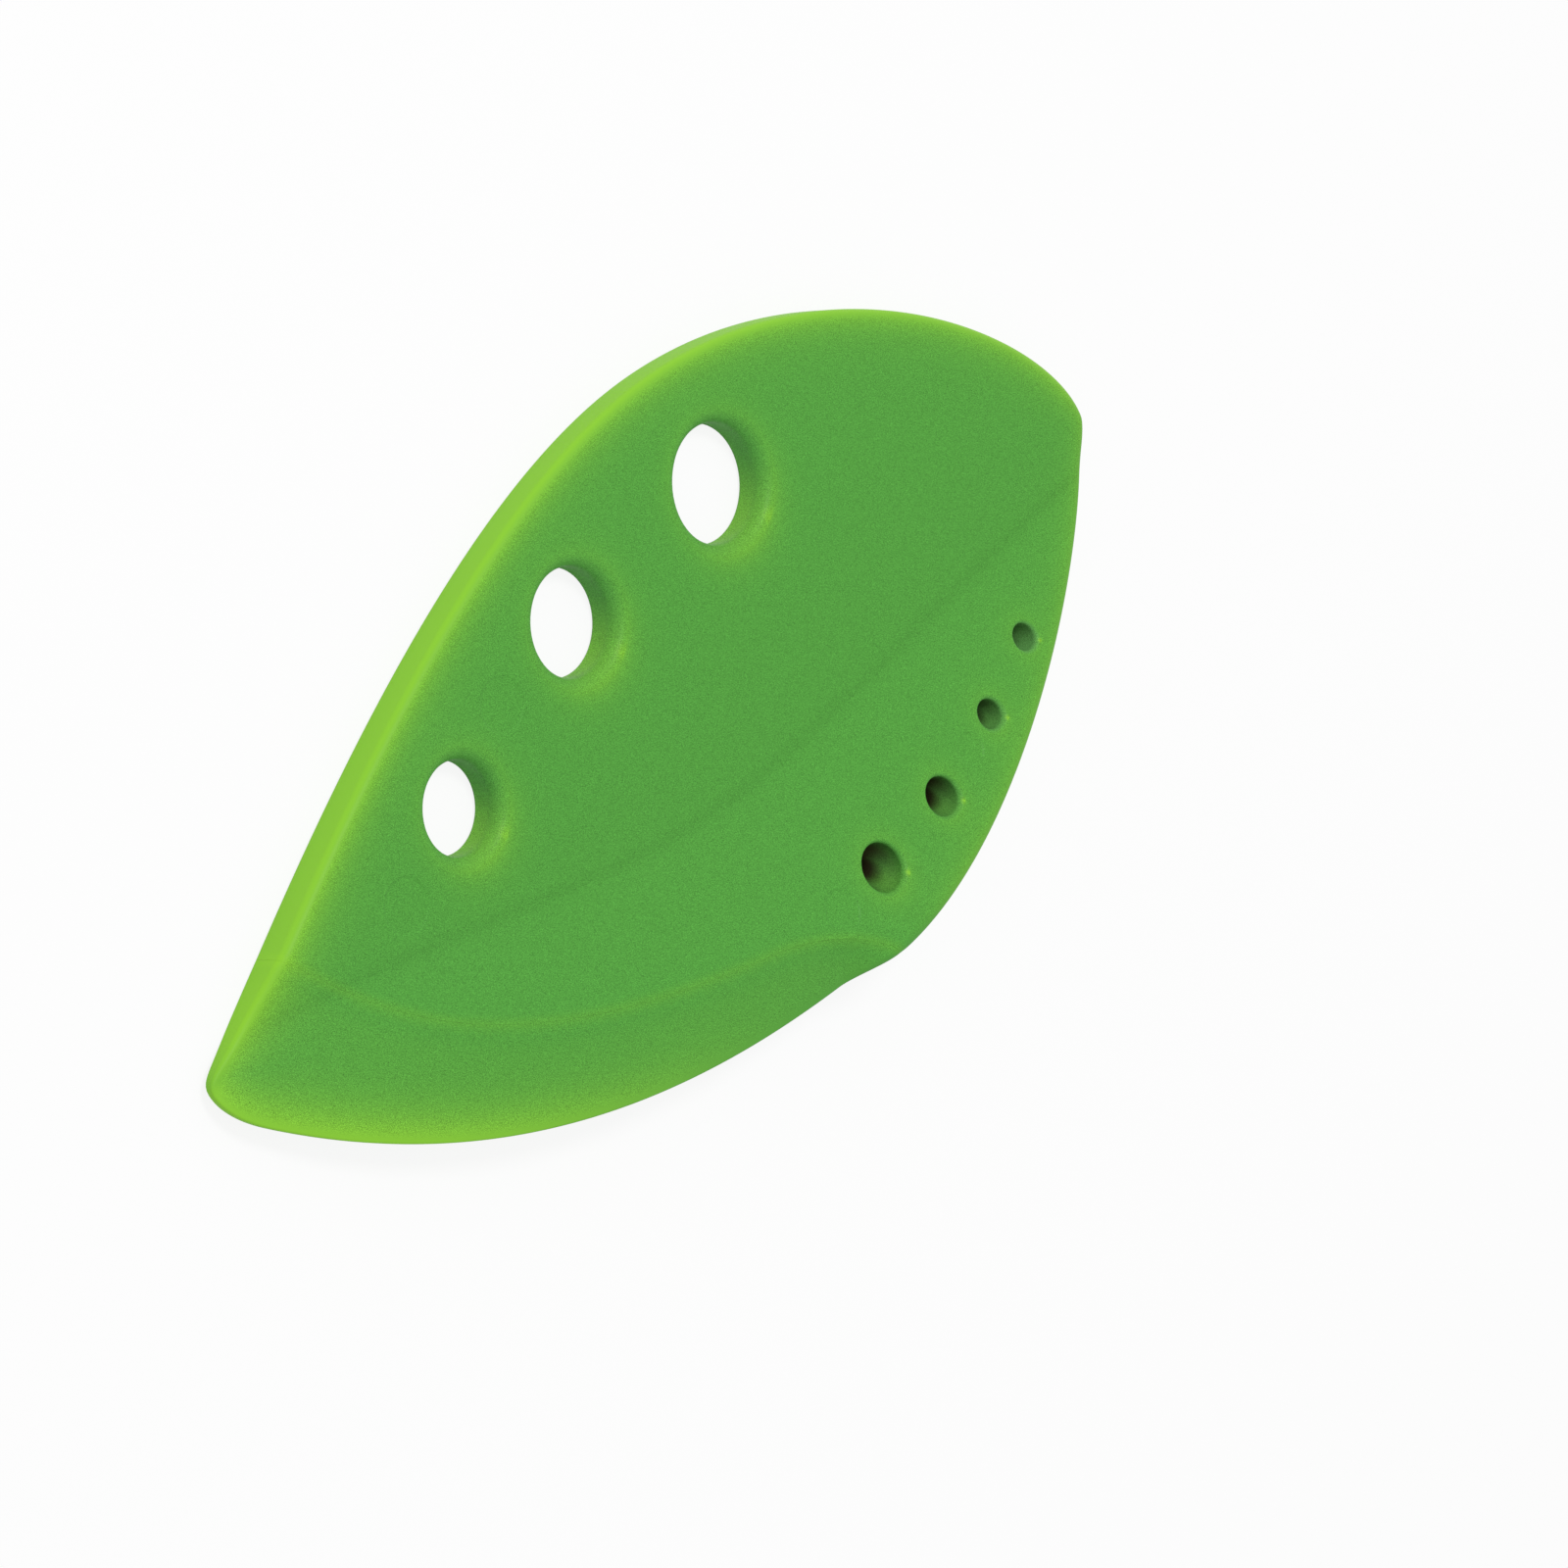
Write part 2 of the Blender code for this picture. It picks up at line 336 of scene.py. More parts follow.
@dataclass(frozen=True)
class LeafPlan:
    """The leaf's plan: its outline, the step line where the blade starts, its stem holes and its marks."""

    length: float = 154.9 * MM
    spine: SideShape = SideShape(
        crest=(91.8 * MM, 37.5 * MM),
        flank=(8.3 * MM, 5.7 * MM),
        flank_angle=radians(31),
        nose_rounding=2.1 * MM,
        stem_rounding=11.5 * MM,
        fullness=(0.90, 0.45, 0.27, 0.55),
    )
    edge: SideShape = SideShape(
        crest=(89.8 * MM, -36.0 * MM),
        flank=(4.1 * MM, -6.6 * MM),
        flank_angle=radians(-42),
        nose_rounding=3.0 * MM,
        stem_rounding=5.5 * MM,
        fullness=(0.25, 0.37, 0.35, 0.44),
    )
    blade_start_at: float = 13.6 * MM
    blade_start_angle: float = radians(-47)
    blade_waist: tuple[float, float] = (74.0 * MM, -26.5 * MM)
    blade_waist_angle: float = radians(-13)
    blade_heel_at: float = 89.9 * MM
    blade_heel_angle: float = radians(-64)
    blade_fullness: tuple[float, float, float, float] = (0.16, 0.71, 0.35, 0.25)
    step_counts: tuple[int, int] = (160, 60)
    step_ahead: int = 4
    large_holes: tuple[StemHole, ...] = (
        StemHole(0.249, 14.0 * MM, 5.3 * MM, 5.3 * MM),
        StemHole(0.422, 14.6 * MM, 6.2 * MM, 6.2 * MM),
        StemHole(0.638, 15.5 * MM, 6.9 * MM, 6.9 * MM),
    )
    small_holes: tuple[StemHole, ...] = (
        SmallStemHole(0.078, 8.9 * MM, 2.85 * MM, 0.6 * MM, mouth=0.7 * MM, depth_shade=1.0, pale=0.2),
        SmallStemHole(0.301, 7.7 * MM, 2.3 * MM, 0.8 * MM, mouth=0.65 * MM, depth_shade=1.0, pale=0.4),
        SmallStemHole(0.497, 6.2 * MM, 1.75 * MM, 0.8 * MM, mouth=0.65 * MM, depth_shade=0.8, pale=0.7),
        SmallStemHole(0.654, 4.8 * MM, 1.62 * MM, 0.8 * MM, mouth=0.55 * MM, depth_shade=0.45, pale=1.0),
    )
    marks: tuple[EjectorMark, ...] = (
        EjectorMark(55.1 * MM, 16.7 * MM, 3.4 * MM),
        EjectorMark(31.9 * MM, 4.7 * MM, 3.4 * MM),
        EjectorMark(85.4 * MM, -27.6 * MM, 2.65 * MM),
        EjectorMark(113.9 * MM, -22.6 * MM, 2.05 * MM),
    )

    def side(self, side: Side) -> Points:
        """One side of the outline, from the nose to the stem end."""
        shape = self.spine if side is Side.SPINE else self.edge
        return shape.points(self.length, side.value)

    @property
    def outline(self) -> Points:
        """The whole outline, clockwise from the nose."""
        return np.concatenate([self.side(Side.SPINE), self.side(Side.EDGE)[::-1]])

    def on_side(self, side: Side, u: float) -> tuple[Points, Points]:
        """A point of the outline and the direction there.

        Args:
            side: the side that the point is on.
            u: its station.

        Returns:
            The point, and the direction towards the stem end.
        """
        line = self.side(side)
        place = np.array([u, np.interp(u, line[:, 0], line[:, 1])])
        step = np.array([MM, np.interp(u + MM, line[:, 0], line[:, 1]) - place[1]])
        return place, step / np.linalg.norm(step)

    @property
    def blade_start(self) -> Points:
        """The point of the spine's side where the blade starts."""
        return self.on_side(Side.SPINE, self.blade_start_at)[0]

    @property
    def blade_heel(self) -> Points:
        """The point of the edge's side where the blade ends."""
        return self.on_side(Side.EDGE, self.blade_heel_at)[0]

    def step_line(self) -> Points:
        """The line where the blade starts.

        Returns:
            The line's points, from the spine to the heel.
        """
        start, waist, heel = self.blade_start, np.array(self.blade_waist), self.blade_heel
        first, second = np.linalg.norm(waist - start), np.linalg.norm(heel - waist)
        leaving_start = along(self.blade_start_angle, first * self.blade_fullness[0])
        before_waist = along(self.blade_waist_angle, first * self.blade_fullness[1])
        after_waist = along(self.blade_waist_angle, second * self.blade_fullness[2])
        before_heel = along(self.blade_heel_angle, second * self.blade_fullness[3])
        near, far = self.step_counts
        upper = bezier(start, start + leaving_start, waist - before_waist, waist, near)
        lower = bezier(waist, waist + after_waist, heel - before_heel, heel, far)
        return np.concatenate([upper, lower, [heel]])

    def step_directions(self) -> tuple[Points, Points]:
        """The step line's directions into the leaf, from the spine and from the heel."""
        line, ahead = self.step_line(), self.step_ahead
        return line[ahead] - line[0], line[-1 - ahead] - line[-1]

    def cutting_edge(self) -> Points:
        """The outline from the nose along the cutting side to the heel."""
        line, heel = self.side(Side.EDGE), self.blade_heel
        return np.concatenate([line[line[:, 0] < heel[0]], [heel]])

    def holes_along(self, side: Side) -> list[tuple[Points, StemHole]]:
        """The row of stem holes that follows one side: the large ones inside the spine, and the small ones
        inside the edge between the heel and the stem end.

        Args:
            side: the side.

        Returns:
            Each hole's centre on the plan, and the hole.
        """
        row, first = (self.large_holes, 0.0) if side is Side.SPINE else (self.small_holes, self.blade_heel_at)
        found = []
        for hole in row:
            place, run = self.on_side(side, first + (self.length - first) * hole.station)
            found.append((place + side.value * hole.inset * np.array([run[1], -run[0]]), hole))
        return found

    def hole_places(self) -> list[tuple[Points, StemHole]]:
        """Every stem hole with its centre on the plan."""
        return self.holes_along(Side.SPINE) + self.holes_along(Side.EDGE)

    def centre(self) -> tuple[float, float]:
        """The middle of the plan's box, which is the part's origin."""
        return self.length / 2, (self.spine.crest[1] + self.edge.crest[1]) / 2


@dataclass(frozen=True)
class Fineness:
    """How finely a flat plate is meshed: the stations and rows of its rim with a guard band behind them, how
    far from the joint the rim starts to lean into it and the room that it has there, the grid with the room
    that it leaves, and the rings and rows that follow the holes, the marks, the step line and the midrib.

    Rows are in millimetres from their line, and a mark's rings in widths of its wall. A triangle lies in a
    hole where its middle is nearer to the centre than the hole share of the radius. Each mouth of a lining
    takes the mouth share of its rows."""

    station: float = 0.5 * MM
    rim_rows: tuple[int, int] = (6, 10)
    guard: float = 0.25 * MM
    joint_lean: float = 4.0 * MM
    joint_room: float = 0.2 * MM
    grid: float = 0.9 * MM
    crowding: float = 0.38 * MM
    margin: float = 0.1 * MM
    hole_segments: int = 64
    hole_rings: tuple[float, float] = (0.2 * MM, 0.55 * MM)
    hole_share: float = 0.998
    lining_rows: int = 32
    mouth_share: float = 0.25
    mark_rings: tuple[float, ...] = (-1.4, -1.0, -0.75, -0.5, -0.25, 0.0, 0.4)
    body_rows: tuple[float, ...] = (0.15, 0.35, 0.6, 0.9, 1.2, 1.5)
    blade_rows: tuple[float, ...] = (0.2, 0.5)
    midrib_from: float = 2.0 * MM
    midrib_rows: tuple[float, ...] = (-2.7, -2.2, -1.8, -1.45, -1.1, -0.75, -0.4, 0.0, 0.4, 0.8, 1.3)


@dataclass(frozen=True)
class Plate:
    """The plate's section, and how its rim, its step and its blade are shaped. The grain of its face starts
    at a share of the front rounding in from the outline, and grows over another."""

    thickness: float = 4.6 * MM
    inset: float = 0.05 * MM
    front_rounding: float = 1.1 * MM
    front_reach: float = 1.3
    back_rounding: float = 0.6 * MM
    step_drop: float = 0.16 * MM
    step_reach: float = 1.3 * MM
    blade_edge: float = 0.9 * MM
    heel_reach: float = 8.0 * MM
    seam: float = 0.01 * MM
    seam_side: tuple[float, float, float] = (-0.6, -0.8, 0.0)
    mark_depth: float = 0.12 * MM
    mark_wall: float = 0.4 * MM
    face_start: float = 0.4
    face_fade: float = 0.9
    fine: Fineness = Fineness()


@dataclass(frozen=True)
class LiningShades:
    """Between which heights each painted glow, glint, lightening or shade of a hole's lining comes or goes,
    as shares of the way from the back mouth to the front one, and how much of the painted shade the lit side
    is spared."""

    front_glow: tuple[float, float] = (0.8, 1.0)
    back_glow: tuple[float, float] = (0.0, 0.6)
    catch: tuple[float, float] = (0.6, 1.0)
    glint: tuple[float, float] = (0.86, 0.94)
    pale: tuple[float, float] = (0.75, 1.0)
    dark: tuple[float, float] = (0.36, 0.68)
    dark_side: tuple[float, float] = (0.57, 0.9)
    spared: float = 0.75


@dataclass(frozen=True)
class Glow:
    """Painted glow that stands in for light coming through the nylon: strongly within a hair of a rim,
    faintly further in, along a blade's thin edge, round the stem holes, in their linings and along the step
    line."""

    rim_near: tuple[float, float] = (0.72, 1.15 * MM)
    nose_spread: float = 1.1
    nose_fade: float = 30.0 * MM
    rim_far: tuple[float, float] = (0.21, 3.2 * MM)
    # The rim's painted glow: weaker on the edge's side, coming in past the heel, and turning from side to
    # side over a width.
    edge_side: float = 0.48
    heel_fade: float = 15.0 * MM
    turn: float = 5.0 * MM
    blade: tuple[float, float] = (0.82, 3.3 * MM)
    blade_falloff: float = 1.5
    blade_fade: tuple[float, float] = (12.0 * MM, 80.0 * MM)
    rim_depth: float = 0.25 * MM
    hole_reach: float = 1.5 * MM
    # A painted highlight along the step line: its strength and reach.
    step: tuple[float, float] = (0.13, 0.7 * MM)
    # Painted light over the blade's body, away from the step line: its strength and reach.
    blade_body: tuple[float, float] = (0.05, 4.0 * MM)
    # The painted glow at a lining's back mouth, the angle that a lining's painted light faces, and how much
    # of that light shows at the front mouth and round it.
    back_lip: float = 0.12
    catch_angle: float = radians(-78)
    lip_catch: float = 0.31
    # How far and how sharply a painted glint spreads.
    glint_reach: float = 0.15 * MM
    glint_sharpness: int = 220
    lining: LiningShades = LiningShades()

    def facing(self, steps: Points, angle: float) -> Points:
        """How squarely each step from a hole's centre points at this angle, from 0 to 1."""
        return np.maximum(steps @ along(angle, 1) / np.maximum(lengths(steps), SHORT), 0)

    def rim(self, depth: Points, from_nose: Points) -> Points:
        """The share of painted glow beside a rim, which reaches further in towards the nose.

        Args:
            depth: how far each place lies from the rim.
            from_nose: how far it lies from the nose.

        Returns:
            One share for each place.
        """
        deep = np.maximum(depth - self.rim_depth, 0)
        (near, near_reach), (far, far_reach) = self.rim_near, self.rim_far
        near_reach = near_reach * (1 + self.nose_spread * np.exp(-from_nose / self.nose_fade))
        return near * np.exp(-deep / near_reach) + far * np.exp(-deep / far_reach)

    def spine_share(self, places: Points) -> Points:
        """How far each place belongs to the spine's side of the rim, from 0 to 1."""
        return ease((places[:, 1] + self.turn) / (2 * self.turn))


@dataclass(frozen=True)
class Fold:
    """How the plate is folded along its midrib, and how wide the painted shade along the fold is and how far
    it lies off the midrib.
    """

    angle: float = radians(15)
    softness: float = 1.3 * MM
    at_nose: float = 4.6 * MM
    bow: float = -9.0 * MM
    bow_at: float = 84.0 * MM
    at_stem: float = -4.5 * MM
    crease_shade: float = 0.95 * MM
    crease_shade_shift: float = 0.8 * MM

    def midrib(self, u: Points, length: float) -> Points:
        """The midrib's place at each station.

        Args:
            u: the stations.
            length: the leaf's length.

        Returns:
            Its v at each station.
        """
        near_nose = self.at_nose + (self.bow - self.at_nose) * ease(u / self.bow_at)
        near_stem = self.bow + (self.at_stem - self.bow) * ease((u - self.bow_at) / (length - self.bow_at))
        return np.where(u < self.bow_at, near_nose, near_stem)


class Term:
    """A value in a node tree, which formulas are written with."""

    def __init__(self, wiring: Wiring, socket: bpy.types.NodeSocket) -> None:
        """Takes the socket that holds the value, and the wiring that adds further nodes."""
        self.wiring = wiring
        self.socket = socket

    def __add__(self, other: Any) -> Term:
        """This and another together."""
        return self.wiring.math("ADD", self, other)

    def __sub__(self, other: Any) -> Term:
        """This less another."""
        return self.wiring.math("SUBTRACT", self, other)

    def __rsub__(self, other: Any) -> Term:
        """Another less this."""
        return self.wiring.math("SUBTRACT", other, self)

    def __mul__(self, other: Any) -> Term:
        """This times another."""
        return self.wiring.math("MULTIPLY", self, other)

    def __truediv__(self, other: Any) -> Term:
        """This divided by another."""
        return self.wiring.math("DIVIDE", self, other)

    def __pow__(self, power: float) -> Term:
        """This to a power."""
        return self.wiring.math("POWER", self, power)

    def __neg__(self) -> Term:
        """This with its sign turned."""
        return self * -1.0

    def at_least(self, other: Any) -> Term:
        """The larger of this and another."""
        return self.wiring.math("MAXIMUM", self, other)

    def at_most(self, other: Any) -> Term:
        """The smaller of this and another."""
        return self.wiring.math("MINIMUM", self, other)

    def sine(self) -> Term:
        """Its sine."""
        return self.wiring.math("SINE", self)

    def cosine(self) -> Term:
        """Its cosine."""
        return self.wiring.math("COSINE", self)


class Wiring:
    """Adds nodes to a tree and links them, so that a formula reads in one place."""

    def __init__(self, tree: bpy.types.NodeTree) -> None:
        """Starts with the tree that takes the nodes."""
        self.tree = tree

    def fill(self, node: bpy.types.Node, inputs: dict[Any, Any]) -> None:
        """Links a node's sockets, or sets their plain values.

        Args:
            node: the node.
            inputs: what goes into its sockets, each a term, a socket of another node or a plain value.
        """
        for name, value in inputs.items():
            value = value.socket if isinstance(value, Term) else value
            if isinstance(value, bpy.types.NodeSocket):
                self.tree.links.new(value, node.inputs[name])
            else:
                node.inputs[name].default_value = value

    def node(self, kind: str, inputs: dict[Any, Any] | None = None, **settings: Any) -> bpy.types.Node:
        """Adds one node.

        Args:
            kind: the node's type.
            inputs: what goes into its sockets.
            settings: the node's own settings.

        Returns:
            The node.
        """
        made = self.tree.nodes.new(kind)
        for name, value in settings.items():
            setattr(made, name, value)
        self.fill(made, inputs or {})
        return made

    def result(
        self, kind: str, inputs: dict[Any, Any] | None = None, output: int | str = 0, **settings: Any
    ) -> Term:
        """One output of a new node, which is its first unless another is named."""
        return Term(self, self.node(kind, inputs, **settings).outputs[output])

    def given(self) -> dict[str, Term]:
        """The tree's own inputs, by name."""
        sockets = self.node("NodeGroupInput").outputs
        return {socket.name: Term(self, socket) for socket in sockets if socket.name}

    def math(self, operation: str, *terms: Any, clamp: bool = False) -> Term:
        """The result of one Math node, kept between 0 and 1 if it is clamped."""
        return self.result("ShaderNodeMath", dict(enumerate(terms)), operation=operation, use_clamp=clamp)

    def smooth(self, value: Any, low: Any, high: Any, first: Any, last: Any) -> Term:
        """A value that eases from first to last as another runs from low to high."""
        inputs = {"Value": value, "From Min": low, "From Max": high, "To Min": first, "To Max": last}
        return self.result("ShaderNodeMapRange", inputs, "Result", interpolation_type="SMOOTHSTEP")

    def axes(self, vector: Any) -> list[Term]:
        """The three numbers of a vector."""
        return [Term(self, socket) for socket in self.node("ShaderNodeSeparateXYZ", {0: vector}).outputs]

    def vector(self, *numbers: Any) -> Term:
        """A vector of three numbers."""
        return self.result("ShaderNodeCombineXYZ", dict(enumerate(numbers)))

    def mix(self, share: Any, first: Any, second: Any, way: str = "MIX") -> Term:
        """A colour between two others, or the two put together in another way."""
        inputs = {"Factor": share, 6: first, 7: second}
        return self.result("ShaderNodeMix", inputs, 2, data_type="RGBA", blend_type=way)

    def attribute(self, name: str, kind: str = "FLOAT") -> Term:
        """A named attribute of the geometry."""
        return self.result("GeometryNodeInputNamedAttribute", {"Name": name}, "Attribute", data_type=kind)

    def stored(self, geometry: Any, name: str, value: Any, kind: str = "FLOAT") -> Term:
        """The geometry with one more attribute on its points."""
        inputs = {"Geometry": geometry, "Name": name, "Value": value}
        return self.result("GeometryNodeStoreNamedAttribute", inputs, data_type=kind, domain="POINT")


class LeafTree:
    """The Geometry Nodes that turn a flat plate into the moulded leaf: stem holes with their painted light
    and shade, ejector marks, and the fold with its painted shade.
    """

    def __init__(self, plan: LeafPlan, plate: Plate, glow: Glow, fold: Fold) -> None:
        """Builds the tree once, for every piece that uses it.

        Args:
            plan, plate, fold: the leaf's sizes.
            glow: the painted glow that stands in for light coming through it.
        """
        self.tree = bpy.data.node_groups.new("moulded_leaf", "GeometryNodeTree")
        self.wiring = Wiring(self.tree)
        self.plate = plate
        self.glow = glow
        self.values: dict[str, Any] = {
            "Thickness": plate.thickness,
            "Hole Segments": plate.fine.hole_segments,
            "Back Lip Glow": glow.back_lip,
            "Catch Angle": glow.catch_angle,
            "Lip Catch": glow.lip_catch,
            "Mark Wall": plate.mark_wall,
            "Mark Depth": plate.mark_depth,
            "Fold Slope": tan(fold.angle),
            "Fold Softness": fold.softness,
            "Painted Fold Shade Width": fold.crease_shade,
            "Painted Fold Shade Shift": fold.crease_shade_shift,
            "Midrib At Nose": fold.at_nose,
            "Midrib Bow": fold.bow,
            "Midrib Bow At": fold.bow_at,
            "Midrib At Stem": fold.at_stem,
            "Length": plan.length,
            "Centre U": plan.centre()[0],
            "Centre V": plan.centre()[1],
        }
        self.sockets: dict[str, str] = {}
        self.add_sockets()
        self.build()

    def add_sockets(self) -> None:
        """Names the tree's inputs and its output."""
        kinds = {"Geometry": "Geometry", "Hole Segments": "Int", "Finish": "Material"}
        for name in ("Geometry", *self.values, "Finish"):
            kind = "NodeSocket" + kinds.get(name, "Float")
            made = self.tree.interface.new_socket(name, in_out="INPUT", socket_type=kind)
            self.sockets[name] = made.identifier
        self.tree.interface.new_socket("Geometry", in_out="OUTPUT", socket_type="NodeSocketGeometry")

    def build(self) -> None:
        """Wires the tree from its input to its output."""
        wiring, given = self.wiring, self.wiring.given()
        kind = wiring.attribute("kind")
        is_plate = wiring.math("LESS_THAN", kind, Kind.PLATE.value + 0.5)
        is_hole = wiring.math("LESS_THAN", kind, Kind.HOLE.value + 0.5)
        split = "GeometryNodeSeparateGeometry"
        plate = wiring.node(split, {"Geometry": given["Geometry"], "Selection": is_plate}).outputs
        points = wiring.node(split, {"Geometry": plate["Inverted"], "Selection": is_hole}).outputs
        joined = wiring.node("GeometryNodeJoinGeometry", {"Geometry": plate["Selection"]})
        wiring.fill(joined, {"Geometry": self.linings(points["Selection"], given)})
        welding = {"Geometry": joined.outputs[0], "Distance": WELD_DISTANCE}
        welded = wiring.result("GeometryNodeMergeByDistance", welding)
        pressed = self.pressed(welded, points["Inverted"], given)
        shaded = wiring.result("GeometryNodeSetShadeSmooth", {"Geometry": self.folded(pressed, given)})
        real = wiring.result("GeometryNodeRealizeInstances", {"Geometry": shaded})
        dressed = wiring.result("GeometryNodeSetMaterial", {"Geometry": real, "Material": given["Finish"]})
        wiring.node("NodeGroupOutput", {"Geometry": dressed})

    def linings(self, points: bpy.types.NodeSocket, given: dict[str, Term]) -> Term:
        """One lining at each hole's point: a throat between two rounded mouths, with its painted light and
        shade.

        Args:
            points: the holes' points, which carry each hole's throat and mouth.
            given: the tree's inputs.

        Returns:
            The linings, as one mesh.
        """
        wiring, rows = self.wiring, self.plate.fine.lining_rows
        low, high = self.plate.fine.mouth_share, 1 - self.plate.fine.mouth_share
        sizes = {"Vertices": given["Hole Segments"], "Side Segments": rows, "Radius": 1.0, "Depth": 1.0}
        tube = wiring.result("GeometryNodeMeshCylinder", sizes, "Mesh", fill_type="NONE")
        place = wiring.result("GeometryNodeInputPosition")
        kept = wiring.stored(tube, "tube_place", place, "FLOAT_VECTOR")
        copies = wiring.result("GeometryNodeInstanceOnPoints", {"Points": points, "Instance": kept})
        real = wiring.result("GeometryNodeRealizeInstances", {"Geometry": copies})
        around, here = wiring.axes(wiring.attribute("tube_place", "FLOAT_VECTOR")), wiring.axes(place)
        up = around[2] + 0.5
        back_turn = wiring.math("DIVIDE", up, low, clamp=True) * (pi / 2)
        throat_up = wiring.math("DIVIDE", up - low, high - low, clamp=True)
        front_turn = wiring.math("DIVIDE", up - high, 1 - high, clamp=True) * (pi / 2)
        mouth, back = wiring.attribute("mouth"), wiring.attribute("back_mouth")
        front_throat, back_throat = wiring.attribute("throat"), wiring.attribute("back_throat")
        throat = wiring.smooth(up, low, high, back_throat, front_throat)
        radius = throat + back * (1 - back_turn.sine()) + mouth * (1 - front_turn.cosine())
        straight = given["Thickness"] - mouth - back
        height = back * (1 - back_turn.cosine()) + straight * throat_up + mouth * front_turn.sine()
        wider = radius - 1.0
        moved = wiring.vector(around[0] * wider + here[0], around[1] * wider + here[1], height)
        shaped = wiring.result("GeometryNodeSetPosition", {"Geometry": real, "Position": moved})
        for name, value in self.lining_light(up, around, given).items():
            shaped = wiring.stored(shaped, name, value)
        return shaped

    def lining_light(self, up: Term, around: list[Term], given: dict[str, Term]) -> dict[str, Term]:
        """The painted light and shade of a lining: painted glow at its two mouths, on the side that catches
        the light and in one small painted glint, and where it is painted paler and darker.

        Args:
            up: how far each point lies from the back mouth to the front one.
            around: the point's place on the plain tube.
            given: the tree's inputs.

        Returns:
            The value of each attribute that the finish reads.
        """
        wiring, shades = self.wiring, self.glow.lining

        def facing(angle: Term) -> Term:
            """How squarely each point faces this angle, from -1 to 1."""
            return around[0] * angle.cosine() + around[1] * angle.sine()

        # Painted glow at the front mouth and at the back mouth.
        front = wiring.smooth(up, *shades.front_glow, 0.0, 1.0) * wiring.attribute("halo")
        back = wiring.smooth(up, *shades.back_glow, 1.0, 0.0) * given["Back Lip Glow"]
        # Painted light on the side of the lining that faces the catch angle, less of it towards the front
        # mouth.
        towards_light = facing(given["Catch Angle"])
        side = towards_light.at_least(0.0) ** 2 * wiring.attribute("catch")
        side = side * wiring.smooth(up, *shades.catch, 1.0, given["Lip Catch"])
        # A small painted glint near the front mouth, at the hole's glint angle.
        spot = facing(wiring.attribute("glint_angle")).at_least(0.0) ** self.glow.glint_sharpness
        glint = spot * wiring.attribute("glint") * wiring.smooth(up, *shades.glint, 0.0, 1.0)
        # Painted lightening of the lining, fading out at the front mouth.
        pale = wiring.smooth(up, *shades.pale, 1.0, 0.0) * wiring.attribute("pale")
        # Painted shade deep in the lining and on the side away from the catch angle, as far as the hole's
        # depth shade lets it.
        lit = (towards_light * 0.5 + 0.5) ** 2
        shade_beside_light = wiring.smooth(up, *shades.dark_side, 1.0, 0.0) * (1 - lit * shades.spared)
        dark = shade_beside_light.at_least(wiring.smooth(up, *shades.dark, 1.0, 0.0)) * wiring.attribute("depth_shade")
        return {"painted_glow": front + back + (side + glint), "painted_lightening": pale, "painted_hole_shade": dark}

    def pressed(self, geometry: Term, marks: bpy.types.NodeSocket, given: dict[str, Term]) -> Term:
        """Sinks a shallow disc at each mark's point.

        Args:
            geometry: the flat plate.
            marks: the marks' points.
            given: the tree's inputs.

        Returns:
            The plate with its marks.
        """
        wiring = self.wiring
        near = wiring.node("GeometryNodeProximity", {"Geometry": marks}, target_element="POINTS").outputs
        number = wiring.result("GeometryNodeSampleNearest", {"Geometry": marks})
        sampled = {"Geometry": marks, "Value": wiring.attribute("mark_radius"), "Index": number}
        radius = wiring.result("GeometryNodeSampleIndex", sampled)
        disc = wiring.smooth(near["Distance"], radius - given["Mark Wall"], radius, -1.0, 0.0)
        offset = wiring.vector(0.0, 0.0, disc * given["Mark Depth"] * near["Is Valid"])
        return wiring.result("GeometryNodeSetPosition", {"Geometry": geometry, "Offset": offset})

    def folded(self, geometry: Term, given: dict[str, Term]) -> Term:
        """Folds the plate along its midrib, stores the painted shade along the fold, and moves it from its
        plan to its place.

        Args:
            geometry: the flat plate.
            given: the tree's inputs.

        Returns:
            The folded plate.
        """
        wiring = self.wiring
        here = wiring.axes(wiring.result("GeometryNodeInputPosition"))
        bow, bow_at = given["Midrib Bow"], given["Midrib Bow At"]
        near_nose = wiring.smooth(here[0], 0.0, bow_at, given["Midrib At Nose"], bow)
        near_stem = wiring.smooth(here[0], bow_at, given["Length"], bow, given["Midrib At Stem"])
        past = near_nose + near_stem - bow - here[1]
        # Painted shade along the fold, a little off the midrib.
        off_crease = ((past - given["Painted Fold Shade Shift"]) / given["Painted Fold Shade Width"]) ** 2
        creased = wiring.stored(geometry, "crease_shade", wiring.math("EXPONENT", -off_crease))
        soft = given["Fold Softness"]
        held = past.at_least(-soft).at_most(soft)
        run = (held + soft) ** 2 / (soft * 4.0) + (past - soft).at_least(0.0)
        offset = wiring.vector(-given["Centre U"], -given["Centre V"], run * given["Fold Slope"])
        return wiring.result("GeometryNodeSetPosition", {"Geometry": creased, "Offset": offset})

